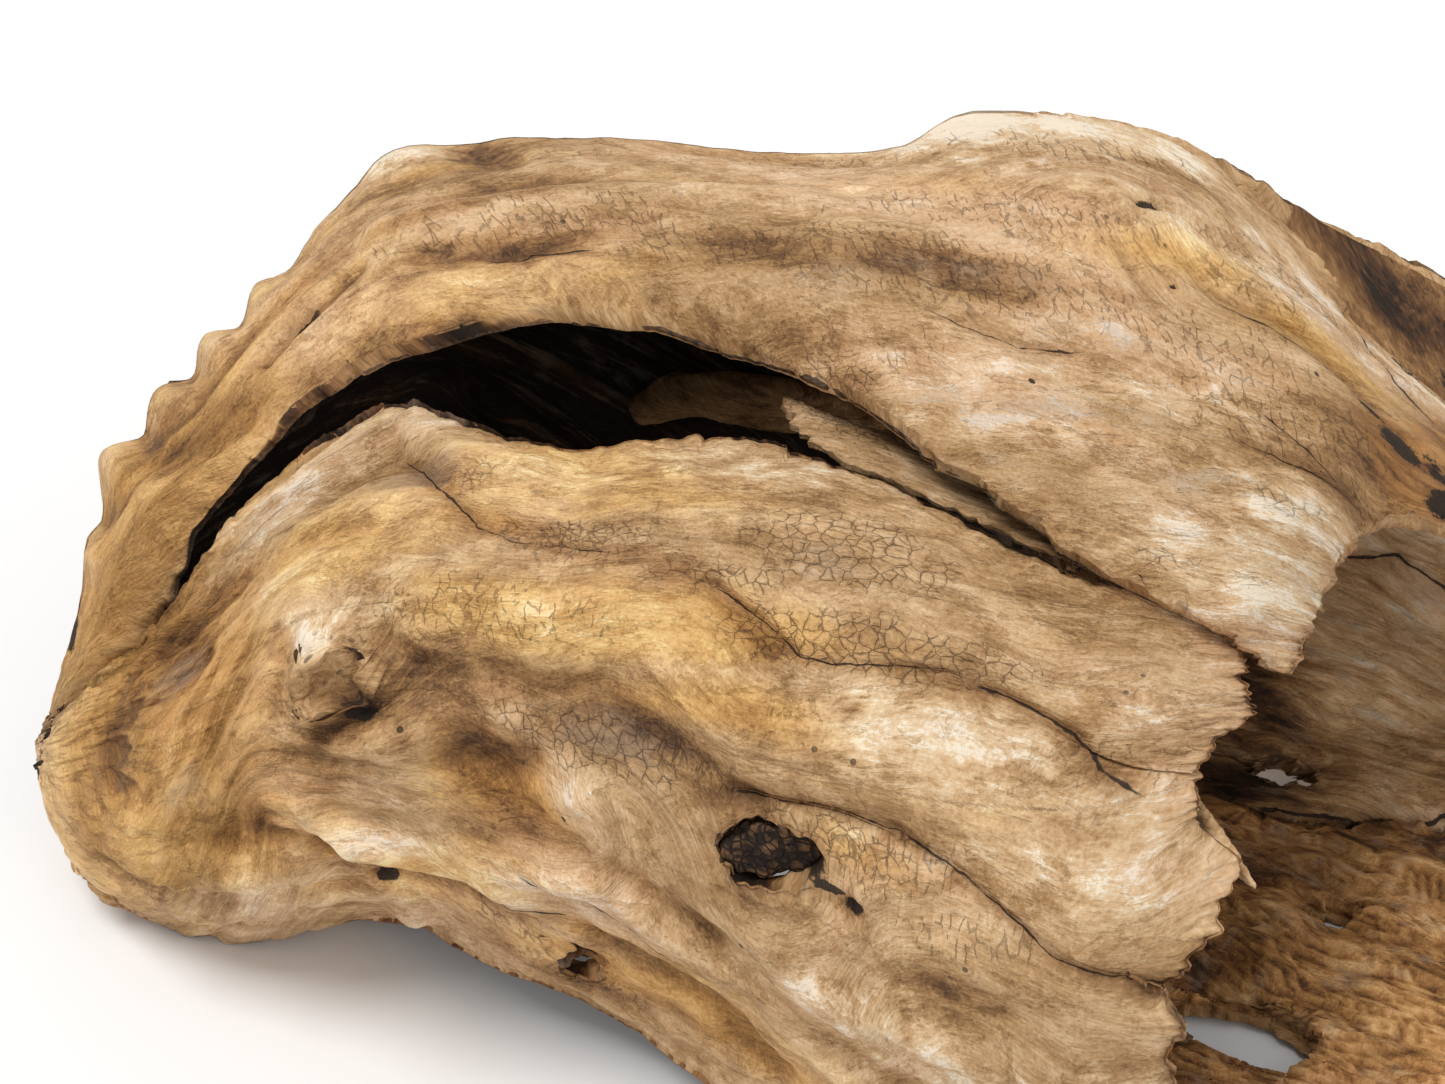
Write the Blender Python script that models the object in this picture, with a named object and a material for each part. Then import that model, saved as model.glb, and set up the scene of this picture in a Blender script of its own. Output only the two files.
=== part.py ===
"""Hollow driftwood: the weathered shell of a log, rotted out inside and split along its grain.

Metres, +Z up. X runs along the grain, from the closed butt at -X to the broken open end at +X.
Y runs to the back, and Z = 0 is the ground that the wood rests on.

Every wall is a loft through rails. A rail is one line of the grain on the outer surface, written
from the butt to the open end as (x, y, z) in millimetres. The wall's thickness is measured
towards the spine, a line down the middle of the hollow, so neighbouring walls never cross.
"""

import math

import bmesh
import bpy
import numpy as np
from mathutils import Matrix, Vector

MM = 0.001
CELL = 13.0  # length of one face of a wall, along and across the grain
SPLIT = 0.8  # gap between two walls that the wood has split into
TOUCH = 0.4  # gap between pieces that rest on each other
WALL = 11.0  # sound wood, away from any edge
BACK_WALL = 12.0
WORN_EDGE = 0.5  # share of the wall left at a worn lip or a broken end
WEAR_REACH = 45.0  # how far from an edge the wear thins the wall
CLOSED_END = 0.35  # walls start this share of a station from the point of the butt
CORE_FIT = 0.8  # size of the core, as a share of the hole that it fills

# The line down the middle of the hollow, from the butt to the open end.
SPINE = [(-165, -5, 62), (-90, 5, 90), (0, -10, 96), (100, -30, 92), (290, -20, 70)]

BUTT = (-221, -1, 35)

# Crown: from the ridge at the back, over the top, to the upper lip of the hollow.
CROWN_REAR = [
    BUTT, (-213, 13, 62), (-202, 23, 92), (-199, 44, 112), (-179, 57, 132), (-151, 89, 152),
    (-109, 127, 184), (-47, 116, 196), (-1, 101, 200), (47, 89, 204), (95, 101, 212),
    (146, 97, 204), (181, 67, 184), (196, 39, 168), (233, 25, 142), (278, 20, 116),
]
CROWN_UPPER = [
    BUTT, (-207, 2, 66), (-192, 4, 98), (-182, 19, 122), (-162, 36, 142), (-138, 66, 168),
    (-95, 80, 194), (-44, 62, 204), (-1, 48, 208), (43, 30, 212), (92, 42, 214),
    (139, 32, 206), (167, 1, 190), (189, -6, 172), (226, 1, 147), (275, -4, 121),
]
CROWN_LOWER = [
    BUTT, (-202, -4, 66), (-186, -2, 96), (-170, 9, 122), (-151, 23, 143), (-126, 44, 168),
    (-90, 48, 190), (-45, 30, 197), (-2, 15, 200), (40, -9, 202), (89, -23, 197),
    (133, -39, 184), (164, -43, 170), (191, -23, 164), (223, -14, 144), (272, -20, 119),
]
CROWN_LIP = [
    BUTT, (-200, -5, 61), (-178, -4, 88), (-159, 2, 113), (-141, 15, 139), (-116, 24, 163),
    (-85, 23, 178), (-48, 21, 186), (-2, 4, 187), (39, -28, 185), (92, -73, 164),
    (134, -84, 146), (156, -83, 129), (182, -41, 150), (221, -29, 136), (267, -28, 110),
]

# Front: from the lower lip of the hollow, down over the belly, to the hem near the ground.
LIP = [
    BUTT, (-199, -6, 61), (-176, -7, 88), (-154, -4, 113), (-131, 15, 135), (-97, 10, 156),
    (-49, -26, 166), (-1, -29, 171), (44, -49, 170), (89, -75, 158), (128, -75, 145),
    (145, -84, 132),
]
SHOULDER = [
    BUTT, (-201, -11, 58), (-175, -28, 84), (-150, -25, 108), (-127, -22, 130), (-95, -28, 150),
    (-49, -65, 160), (-2, -74, 166), (42, -90, 166), (84, -101, 155), (116, -106, 142),
    (139, -104, 128),
]
UPPER_CRACK = [
    BUTT, (-205, -16, 54), (-177, -45, 78), (-149, -51, 98), (-124, -58, 122), (-92, -70, 145),
    (-49, -95, 150), (-6, -97, 155), (33, -115, 156), (72, -119, 148), (100, -130, 136),
    (123, -118, 124),
]
BELLY = [
    BUTT, (-207, -19, 48), (-182, -52, 66), (-153, -66, 84), (-124, -82, 108), (-92, -89, 132),
    (-52, -97, 135), (-8, -120, 146), (27, -134, 146), (70, -146, 138), (100, -155, 126),
    (129, -149, 112),
]
LOWER_CRACK = [
    BUTT, (-210, -20, 42), (-187, -56, 52), (-156, -76, 66), (-128, -88, 88), (-93, -99, 112),
    (-55, -102, 118), (-6, -130, 128), (30, -141, 130), (66, -161, 120), (89, -174, 108),
    (113, -172, 96),
]
SKIRT = [
    BUTT, (-211, -22, 36), (-194, -52, 34), (-166, -74, 40), (-136, -83, 52), (-95, -96, 80),
    (-59, -109, 84), (-17, -131, 86), (26, -152, 88), (61, -174, 82), (89, -180, 70),
    (119, -175, 66),
]
HEM = [
    BUTT, (-211, -22, 28), (-201, -39, 16), (-181, -49, 6), (-154, -57, 0), (-99, -64, 20),
    (-66, -90, 23), (-24, -111, 19), (11, -136, 9), (50, -158, 0), (82, -178, 0),
    (116, -176, 10),
]

CROWN = [CROWN_REAR, CROWN_UPPER, CROWN_LOWER, CROWN_LIP]
FRONT = [LIP, SHOULDER, UPPER_CRACK, BELLY, LOWER_CRACK, SKIRT, HEM]

# The ridge follows the crown's rear edge, then runs on behind it to the open end.
RIDGE = CROWN_REAR[:11] + [
    (149, 102, 201), (187, 81, 187), (216, 83, 172), (243, 77, 160), (288, 78, 138),
]
# The back wall's other rails hang from the ridge: (shift in y, share of the ridge's height).
BACK_DROPS = [(16, 0.72), (-2, 0.42), (-42, 0.18), (-88, 0.0)]
BACK_SWELL_STATIONS = 6  # stations over which the back swells out of the butt
# Rails of the floor, in front of the back wall's foot: (distance forward, height).
FLOOR_STEPS = [(0, 0), (36, -2), (72, -2), (106, 3), (138, 2)]
BASE_SAG = 6  # how far the butt's underside would sag below the ground it is worn flat by
REAR_PLATE_DEPTH = 16.0  # from the crown's outer surface down to the older layer under it

# The grey layer torn from under the crown's lip, where the hollow narrows to a slit.
STRIP_BACK = [(16, -2, 170), (36, -14, 171), (62, -30, 165), (90, -52, 156)]
STRIP_EDGE = [(26, -32, 172), (43, -43, 171), (66, -53, 165), (94, -69, 157)]

# Slivers still hanging from the broken edge of the front wall.
SPLINTER = [(108, -96, 109), (117, -105, 112), (124, -111, 111), (131, -130, 110), (139, -144, 106)]
FINE_SPLINTER = [(106, -106, 98), (115, -117, 101), (122, -127, 101), (127, -137, 97)]
# The rib stands on the inside of the back wall, at these places on its loft: (station, rail).
RIB = [(7.35, 1.62), (7.75, 1.45), (8.5, 1.42), (9.3, 1.6)]
RIB_RADIUS = 9.0
RIB_GAP = 3.0  # the wall bends, so a rib this far from it only just clears it

WOOD = (0.56, 0.38, 0.20)
PALE_WOOD = (0.66, 0.50, 0.31)
BROWN_WOOD = (0.34, 0.19, 0.08)
INNER_WOOD = (0.24, 0.15, 0.08)
GREY_WOOD = (0.38, 0.31, 0.24)
KNOT_WOOD = (0.05, 0.03, 0.02)


def clear_scene():
    for obj in list(bpy.data.objects):
        bpy.data.objects.remove(obj)


def new_collection(name):
    collection = bpy.data.collections.new(name)
    bpy.context.scene.collection.children.link(collection)
    return collection


def wood_material(name, colour, roughness=0.75):
    material = bpy.data.materials.new(name)
    material.use_nodes = True
    shader = material.node_tree.nodes["Principled BSDF"]
    shader.inputs["Base Color"].default_value = (*colour, 1)
    shader.inputs["Roughness"].default_value = roughness
    shader.inputs["Metallic"].default_value = 0
    return material


def smooth_line(points, at):
    """Catmull-Rom curve through points, of shape (n, ...), read at the parameters in at."""
    points = np.asarray(points, float)
    before = 2 * points[0] - points[1]
    after = 2 * points[-1] - points[-2]
    padded = np.concatenate([[before], points, [after]])
    start = np.clip(np.floor(at).astype(int), 0, len(points) - 2)
    t = (at - start).reshape(-1, *[1] * (points.ndim - 1))
    p0, p1, p2, p3 = (padded[start + i] for i in range(4))
    return 0.5 * (
        2 * p1 + (p2 - p0) * t + (2 * p0 - 5 * p1 + 4 * p2 - p3) * t**2 + (3 * p1 - p0 - 3 * p2 + p3) * t**3
    )


def even_steps(line, first, last, step):
    """Parameters from first to last that space points on line about a step apart."""
    fine = np.linspace(first, last, 200)
    lengths = np.linalg.norm(np.diff(smooth_line(line, fine), axis=0), axis=1)
    travelled = np.concatenate([[0], np.cumsum(lengths)])
    count = max(2, round(travelled[-1] / step) + 1)
    return np.interp(np.linspace(0, travelled[-1], count), travelled, fine)


def surface(rails, along, across):
    """Grid of points, of shape (across, along, 3), on the loft through rails."""
    rows = np.array([smooth_line(rail, along) for rail in rails])
    return smooth_line(rows, across)


def towards_spine(points):
    """Unit vectors from points to the middle of the hollow."""
    spine = np.array(SPINE, float)
    x = np.clip(points[..., 0], spine[0, 0], spine[-1, 0])
    target = np.stack([x, np.interp(x, spine[:, 0], spine[:, 1]), np.interp(x, spine[:, 0], spine[:, 2])], -1)
    away = target - points
    return away / np.linalg.norm(away, axis=-1, keepdims=True)


def pulled_in(grid, gap, axis):
    """Grid with its first and last lines along axis moved inwards by gap."""
    grid = np.moveaxis(grid.copy(), axis, 0)
    for edge, beside in ((0, 1), (-1, -2)):
        inwards = grid[beside] - grid[edge]
        length = np.maximum(np.linalg.norm(inwards, axis=-1, keepdims=True), 1e-6)
        grid[edge] += inwards / length * np.minimum(gap, length / 2)
    return np.moveaxis(grid, 0, axis)


def splintered(grid, reach, seed):
    """Grid with its last column broken into teeth that run along the grain."""
    teeth = np.random.default_rng(seed).uniform(-reach, reach, len(grid))
    weight = np.linspace(0, 1, grid.shape[1]) ** 12
    along = np.gradient(grid, axis=1)
    along /= np.linalg.norm(along, axis=-1, keepdims=True)
    return grid + along * (teeth[:, None] * weight)[..., None]


def distance_from(grid, axis, end):
    """How far each grid point is from the first (0) or last (-1) line, measured along axis."""
    steps = np.linalg.norm(np.diff(grid, axis=axis), axis=-1)
    zero = np.zeros_like(np.take(steps, [0], axis))
    travelled = np.concatenate([zero, np.cumsum(steps, axis)], axis)
    return travelled if end == 0 else np.take(travelled, [-1], axis) - travelled


def worn_thickness(grid, wall, worn_sides, broken_end):
    """Wall thickness at each grid point, thinner near the edges that have worn or broken."""
    share = np.ones(grid.shape[:2])
    edges = [(0, side) for side in worn_sides] + ([(1, -1)] if broken_end else [])
    for axis, end in edges:
        t = np.clip(distance_from(grid, axis, end) / WEAR_REACH, 0, 1)
        share = np.minimum(share, WORN_EDGE + (1 - WORN_EDGE) * t * t * (3 - 2 * t))
    return wall * share


def add_part(name, mesh, colour, collection):
    """Object with smooth faces, crisp broken edges and its own wood."""
    mesh.shade_smooth()
    mesh.set_sharp_from_angle(angle=math.radians(50))
    mesh.materials.clear()
    mesh.materials.append(wood_material(name + "_wood", colour))
    obj = bpy.data.objects.new(name, mesh)
    collection.objects.link(obj)
    return obj


def closed_mesh(name, points, faces):
    """Mesh of the closed solid with these faces, points in millimetres."""
    mesh = bpy.data.meshes.new(name)
    mesh.from_pydata([Vector(p) * MM for p in points], [], faces)
    shell = bmesh.new()
    shell.from_mesh(mesh)
    bmesh.ops.recalc_face_normals(shell, faces=shell.faces)
    shell.to_mesh(mesh)
    shell.free()
    return mesh


def wall_mesh(name, grid, thickness):
    """Closed wall between grid, its outer face, and the same grid moved towards the spine."""
    rows, columns = grid.shape[:2]
    inner = grid + towards_spine(grid) * thickness[..., None]
    points = np.concatenate([grid.reshape(-1, 3), inner.reshape(-1, 3)])
    points[:, 2] = np.maximum(points[:, 2], 0)

    def outer(r, c):
        return r * columns + c

    def inside(r, c):
        return rows * columns + outer(r, c)

    faces = []
    for r in range(rows - 1):
        for c in range(columns - 1):
            faces.append((outer(r, c), outer(r, c + 1), outer(r + 1, c + 1), outer(r + 1, c)))
            faces.append((inside(r, c), inside(r + 1, c), inside(r + 1, c + 1), inside(r, c + 1)))
    for r in range(rows - 1):
        for c in (0, columns - 1):
            faces.append((outer(r, c), outer(r + 1, c), inside(r + 1, c), inside(r, c)))
    for c in range(columns - 1):
        for r in (0, rows - 1):
            faces.append((outer(r, c), inside(r, c), inside(r, c + 1), outer(r, c + 1)))
    return closed_mesh(name, points, faces)


def core_mesh(loop):
    """Closed plug for the hole that the walls leave round the butt, from the loop of all rails."""
    ring = np.array([smooth_line(rail, np.array([CLOSED_END]))[0] for rail in loop])
    butt = np.array(BUTT, float)
    outer = np.concatenate([butt + (ring - butt) * CORE_FIT, [butt]])
    points = np.concatenate([outer, outer + towards_spine(outer) * (WALL + 4)])
    count, faces = len(ring), []
    for i in range(count):
        j = (i + 1) % count
        faces.append((i, j, count))
        faces.append((count + 1 + j, count + 1 + i, 2 * count + 1))
        faces.append((j, i, count + 1 + i, count + 1 + j))
    return closed_mesh("butt_core", points, faces)


def add_wall(name, rails, colour, collection, across=None, along=None, wall=WALL,
             worn_sides=(), broken_end=True, teeth=4.0, seed=0):
    """One wall of the shell: the loft through rails, between the given rails and stations."""
    rails = np.array(rails, float)
    across = across or (0, len(rails) - 1)
    along = along or (CLOSED_END, len(rails[0]) - 1)
    middle_rail = smooth_line(rails, np.array([sum(across) / 2]))[0]
    columns = even_steps(middle_rail, *along, CELL)
    widths = np.diff(surface(rails, np.linspace(*along, 12), np.linspace(*across, 9)), axis=0)
    widest = np.linalg.norm(widths, axis=-1).sum(0).max()
    rows = np.linspace(*across, max(3, round(widest / CELL) + 1))
    grid = pulled_in(surface(rails, columns, rows), SPLIT / 2, axis=0)
    if broken_end:
        grid = splintered(grid, teeth, seed)
    thickness = worn_thickness(grid, wall, worn_sides, broken_end)
    return add_part(name, wall_mesh(name, grid, thickness), colour, collection)


def back_rails():
    """The back wall's rails, from the ridge down to its foot."""
    ridge = np.array(RIDGE, float)
    stations = np.arange(len(ridge))
    swell = np.clip(stations / BACK_SWELL_STATIONS, 0, 1)
    drop = 1 - np.exp(-2 * stations)
    rails = [ridge]
    for shift, height in BACK_DROPS:
        rail = ridge.copy()
        rail[:, 1] += shift * swell
        rail[:, 2] *= 1 - (1 - height) * drop
        rails.append(rail)
    return np.array(rails)


def floor_rails(foot):
    """Rails of the floor, which lies on the ground in front of the back wall's foot."""
    return np.array([foot + np.array([0, -forward, height]) for forward, height in FLOOR_STEPS])


def base_rails(foot):
    """Rails of the base, which closes the underside of the butt."""
    hem = np.array(HEM[: len(foot)], float)
    foot = foot[: len(hem)]
    middle = (hem + foot) / 2
    middle[2:, 2] = -BASE_SAG
    return np.array([foot, middle, hem])


def rear_plate_rails():
    """Rails of the older layer, from the ridge to well under the crown's rear edge."""
    crown = np.array(CROWN, float)
    under = surface(crown, np.arange(len(CROWN_REAR), dtype=float), np.array([0.0, 0.35]))
    return np.concatenate([[RIDGE], under + towards_spine(under) * REAR_PLATE_DEPTH])


def frame_at(point, along):
    """Matrix with its origin at point (millimetres), Z out of the wood and X along the grain."""
    outwards = Vector(-towards_spine(np.asarray(point)))
    grain = Vector(along)
    grain = (grain - outwards * grain.dot(outwards)).normalized()
    side = outwards.cross(grain)
    turn = Matrix((grain, side, outwards)).transposed().to_4x4()
    return Matrix.Translation(Vector(point) * MM) @ turn


def peg_mesh(name, matrix, radii, bottom, top, sides=18):
    """Elliptical peg along the matrix's Z, from bottom to top, in millimetres."""
    peg = bmesh.new()
    bmesh.ops.create_cone(
        peg, cap_ends=True, segments=sides, radius1=MM, radius2=MM, depth=(top - bottom) * MM
    )
    place = Matrix.Translation((0, 0, (top + bottom) / 2 * MM))
    peg.transform(matrix @ place @ Matrix.Diagonal((*radii, 1, 1)))
    mesh = bpy.data.meshes.new(name)
    peg.to_mesh(mesh)
    peg.free()
    return mesh


def cut_through(name, host, matrix, radii, cutters, sides=18):
    """Cuts an elliptical opening right through the host wall with a hidden cutter."""
    cutter = bpy.data.objects.new(name, peg_mesh(name, matrix, radii, -3 * WALL, 2 * WALL, sides))
    cutters.objects.link(cutter)
    cutter.hide_render = True
    cutter.display_type = "WIRE"
    modifier = host.modifiers.new(name, "BOOLEAN")
    modifier.operation = "DIFFERENCE"
    modifier.solver = "EXACT"
    modifier.object = cutter


def place_on(rails, along, across):
    """Matrix on the loft through rails, with Z out of the wood and X along the grain."""
    rails = np.array(rails, float)
    grid = surface(rails, np.array([along - 0.1, along, along + 0.1]), np.array([across]))[0]
    return frame_at(grid[1], grid[2] - grid[0])


def add_knot(name, host, matrix, radii, proud, colour, parts, cutters):
    """Encased knot: a peg of dead branch wood, loose in its own socket in the host wall."""
    cut_through(name + "_socket", host, matrix, radii, cutters)
    inside = [radius - TOUCH for radius in radii]
    add_part(name, peg_mesh(name, matrix, inside, -WALL - 2, proud), colour, parts)


def add_sliver(name, points, radii, colour, collection):
    """Tapered round length of wood through points, with its radius at each, in millimetres."""
    curve = bpy.data.curves.new(name, "CURVE")
    curve.dimensions = "3D"
    curve.bevel_depth = MM
    curve.bevel_resolution = 2
    curve.use_fill_caps = True
    at = np.linspace(0, len(points) - 1, 4 * len(points))
    line = smooth_line(points, at)
    widths = smooth_line(np.array(radii, float)[:, None], at)[:, 0]
    spline = curve.splines.new("POLY")
    spline.points.add(len(line) - 1)
    for target, place, width in zip(spline.points, line, widths):
        target.co = (*(place * MM), 1)
        target.radius = width
    guide = bpy.data.objects.new(name + "_guide", curve)
    collection.objects.link(guide)
    evaluated = guide.evaluated_get(bpy.context.evaluated_depsgraph_get())
    mesh = bpy.data.meshes.new_from_object(evaluated)
    bpy.data.objects.remove(guide)
    weld = bmesh.new()
    weld.from_mesh(mesh)
    bmesh.ops.remove_doubles(weld, verts=weld.verts, dist=0.01 * MM)
    weld.to_mesh(mesh)
    weld.free()
    return add_part(name, mesh, colour, collection)


def add_front(parts, cutters):
    """The front wall, in the three plates that its two long cracks leave."""
    add_wall("shoulder_plate", FRONT, WOOD, parts, across=(0, 2), worn_sides=(0,), seed=3)
    belly = add_wall("belly_plate", FRONT, WOOD, parts, across=(2, 4), wall=12, seed=4)
    skirt = add_wall("skirt_plate", FRONT, WOOD, parts, across=(4, 6), worn_sides=(-1,), seed=5)
    stub_place = place_on(FRONT, 4.5, 2.8)
    knot_place = place_on(FRONT, 7.55, 4.45)
    hem_place = place_on(FRONT, 6.5, 5.68)
    add_knot("branch_stub", belly, stub_place, (10, 7), 3, WOOD, parts, cutters)
    add_knot("dead_knot", skirt, knot_place, (14, 9), -1.5, KNOT_WOOD, parts, cutters)
    add_knot("hem_knot", skirt, hem_place, (6, 4), -2, KNOT_WOOD, parts, cutters)
    add_sliver("splinter", SPLINTER, [2.6, 3.0, 2.5, 3.0, 0.8], PALE_WOOD, parts)
    add_sliver("fine_splinter", FINE_SPLINTER, [1.6, 1.8, 1.5, 0.6], PALE_WOOD, parts)


def add_crown(parts):
    """The crown over the top, the torn layer under its lip and the older layer behind it."""
    add_wall("crown_slab", CROWN, WOOD, parts, wall=13, worn_sides=(-1,), seed=1)
    strip = [STRIP_BACK, STRIP_EDGE]
    add_wall("torn_strip", strip, GREY_WOOD, parts, along=(0, 3), wall=4, worn_sides=(-1,), seed=2)
    plate = rear_plate_rails()
    add_wall("rear_plate", plate, BROWN_WOOD, parts, across=(0.05, 2), along=(11.8, 15), wall=7,
             teeth=7, seed=8)


def add_back(parts, cutters):
    """The back wall with its rib, the floor in front of it, and the closed end."""
    back = back_rails()
    foot = back[-1]
    floor_loft = floor_rails(foot)
    wall = add_wall("back_wall", back, INNER_WOOD, parts, wall=BACK_WALL, seed=6)
    cut_through("wall_hole", wall, place_on(back, 12.0, 3.62), (11, 5), cutters, sides=12)
    floor = add_wall("floor_shelf", floor_loft, BROWN_WOOD, parts, across=(0.05, 4),
                     along=(10, 15), wall=9, worn_sides=(-1,), teeth=5, seed=7)
    cut_through("floor_gap", floor, place_on(floor_loft, 11.1, 3.3), (23, 9), cutters)
    cut_through("floor_hole", floor, place_on(floor_loft, 12.1, 1.2), (9, 4), cutters, sides=12)
    add_wall("butt_base", base_rails(foot), WOOD, parts, across=(0.06, 1.96),
             along=(CLOSED_END, 5), wall=12, broken_end=False)
    loop = [*CROWN, *FRONT, base_rails(foot)[1], *back[:0:-1]]
    add_part("butt_core", core_mesh(loop), INNER_WOOD, parts)
    rib = [surface(back, np.array([along]), np.array([across]))[0, 0] for along, across in RIB]
    rib = np.array(rib) + towards_spine(np.array(rib)) * (BACK_WALL + RIB_RADIUS + RIB_GAP)
    add_sliver("inner_rib", rib, [5, RIB_RADIUS, RIB_RADIUS, 4], BROWN_WOOD, parts)


def centre_on_ground(parts, cutters):
    """Moves every mesh so that the origin is under the middle of the whole piece."""
    corners = np.array([vertex.co for part in parts.objects for vertex in part.data.vertices])
    low, high = corners.min(axis=0), corners.max(axis=0)
    shift = Matrix.Translation((-(low[0] + high[0]) / 2, -(low[1] + high[1]) / 2, 0))
    for obj in [*parts.objects, *cutters.objects]:
        obj.data.transform(shift)


def main():
    clear_scene()
    parts = new_collection("driftwood")
    cutters = new_collection("cutters")
    add_front(parts, cutters)
    add_crown(parts)
    add_back(parts, cutters)
    centre_on_ground(parts, cutters)


main()
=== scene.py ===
"""Hollow driftwood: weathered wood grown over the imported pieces, lit on a pale floor.

Every place on the wood is given in wood coordinates. Along is the distance from the butt in
millimetres. Round is the angle about the core of the log in degrees: 0 faces the front, 90 the
sky, 180 the back. The core is the line up the middle of the log.
"""

import math

import bmesh
import bpy
import numpy as np
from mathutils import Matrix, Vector
from mathutils.bvhtree import BVHTree
from mathutils.kdtree import KDTree


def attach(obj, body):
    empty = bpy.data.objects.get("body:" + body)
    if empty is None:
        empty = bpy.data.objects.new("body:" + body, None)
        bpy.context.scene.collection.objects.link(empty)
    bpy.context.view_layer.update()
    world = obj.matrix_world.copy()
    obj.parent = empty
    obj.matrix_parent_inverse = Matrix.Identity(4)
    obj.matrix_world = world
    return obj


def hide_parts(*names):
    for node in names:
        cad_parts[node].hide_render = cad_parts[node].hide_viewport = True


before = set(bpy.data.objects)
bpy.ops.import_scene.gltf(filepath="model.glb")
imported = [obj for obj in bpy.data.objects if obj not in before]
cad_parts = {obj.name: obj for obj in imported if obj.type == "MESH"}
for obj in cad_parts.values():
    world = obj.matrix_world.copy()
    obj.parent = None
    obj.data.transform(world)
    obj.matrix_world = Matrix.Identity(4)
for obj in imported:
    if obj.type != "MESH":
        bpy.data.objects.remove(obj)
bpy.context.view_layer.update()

MM = 0.001
CORE = np.array([
    (-256, 17, 35), (-200, 13, 62), (-125, 23, 90), (-35, 8, 96), (65, -12, 92), (255, -2, 70),
], float)
BUTT = -CORE[0][0]  # from the middle of the frame to the butt
MEAN_RADIUS = 95.0  # turns the angle round the core into a distance across the grain
FINE = 4  # levels of subdivision where the wood is seen close
COARSE = 3
CREASE = math.radians(42)  # edges of a packed wall at least this sharp are its broken rims
SHARP = math.radians(55)  # edges of the finished wood at least this sharp stay sharp
RIM_TURN = 0.55  # a rim that faces along the grain this much is a torn end, and else a lip
SEAM_REACH = 2.0  # walls nearer than this, in mm, have split from each other
SEAM_OVERLAP = 0.2  # how far, in mm, such walls grow into each other
TORN_REACH = 15  # how far back from a torn end its fibres are uneven
LIP_REACH = 8  # how far back from a lip it is crumbled
WORN_REACH = 11  # how far back from any broken edge the wood is thin
# The dark line along a broken edge is partly a stain and partly painted shade on the rim.
EDGE_STAIN_AND_SHADE = 2.5  # how wide the dark line along a broken edge is
# Steps in the rotted floor: (where its noise passes, height lost).
SHELF_STEPS = ((-0.42, 1.9), (-0.16, 1.6), (0.08, 1.5), (0.30, 1.4), (0.52, 1.4))
# Burls, where the surface is lumpy: (along, round, length, width, amount).
BURLS = [(165, 10, 60, 45, 1), (90, 30, 60, 70, 0.9), (250, -20, 60, 22, 0.7)]

# Knots that the grain parts around: (along, round, radius).
KNOTS = [
    (284, 8, 16), (168, 22, 12), (149, 31, 8), (390, 121, 7), (388, 109, 6), (228, 8, 9),
    (207, -24, 7), (304, 4, 5), (152, -12, 8), (365, 34, 5), (100, 24, 10), (70, 50, 9),
    (330, 200, 16), (190, 182, 12), (420, 184, 9), (252, 228, 11), (140, 214, 10),
]
# Places where the grain is twisted into an eddy: (along, round, radius, turn in degrees).
EDDIES = [
    (395, 119, 28, 75), (228, 7, 24, -80), (150, 28, 28, 60), (176, -6, 22, 50),
    (200, 60, 26, 30), (310, -8, 34, -45), (108, 30, 30, 50), (270, 30, 22, 35), (120, -5, 26, -55),
]

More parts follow.
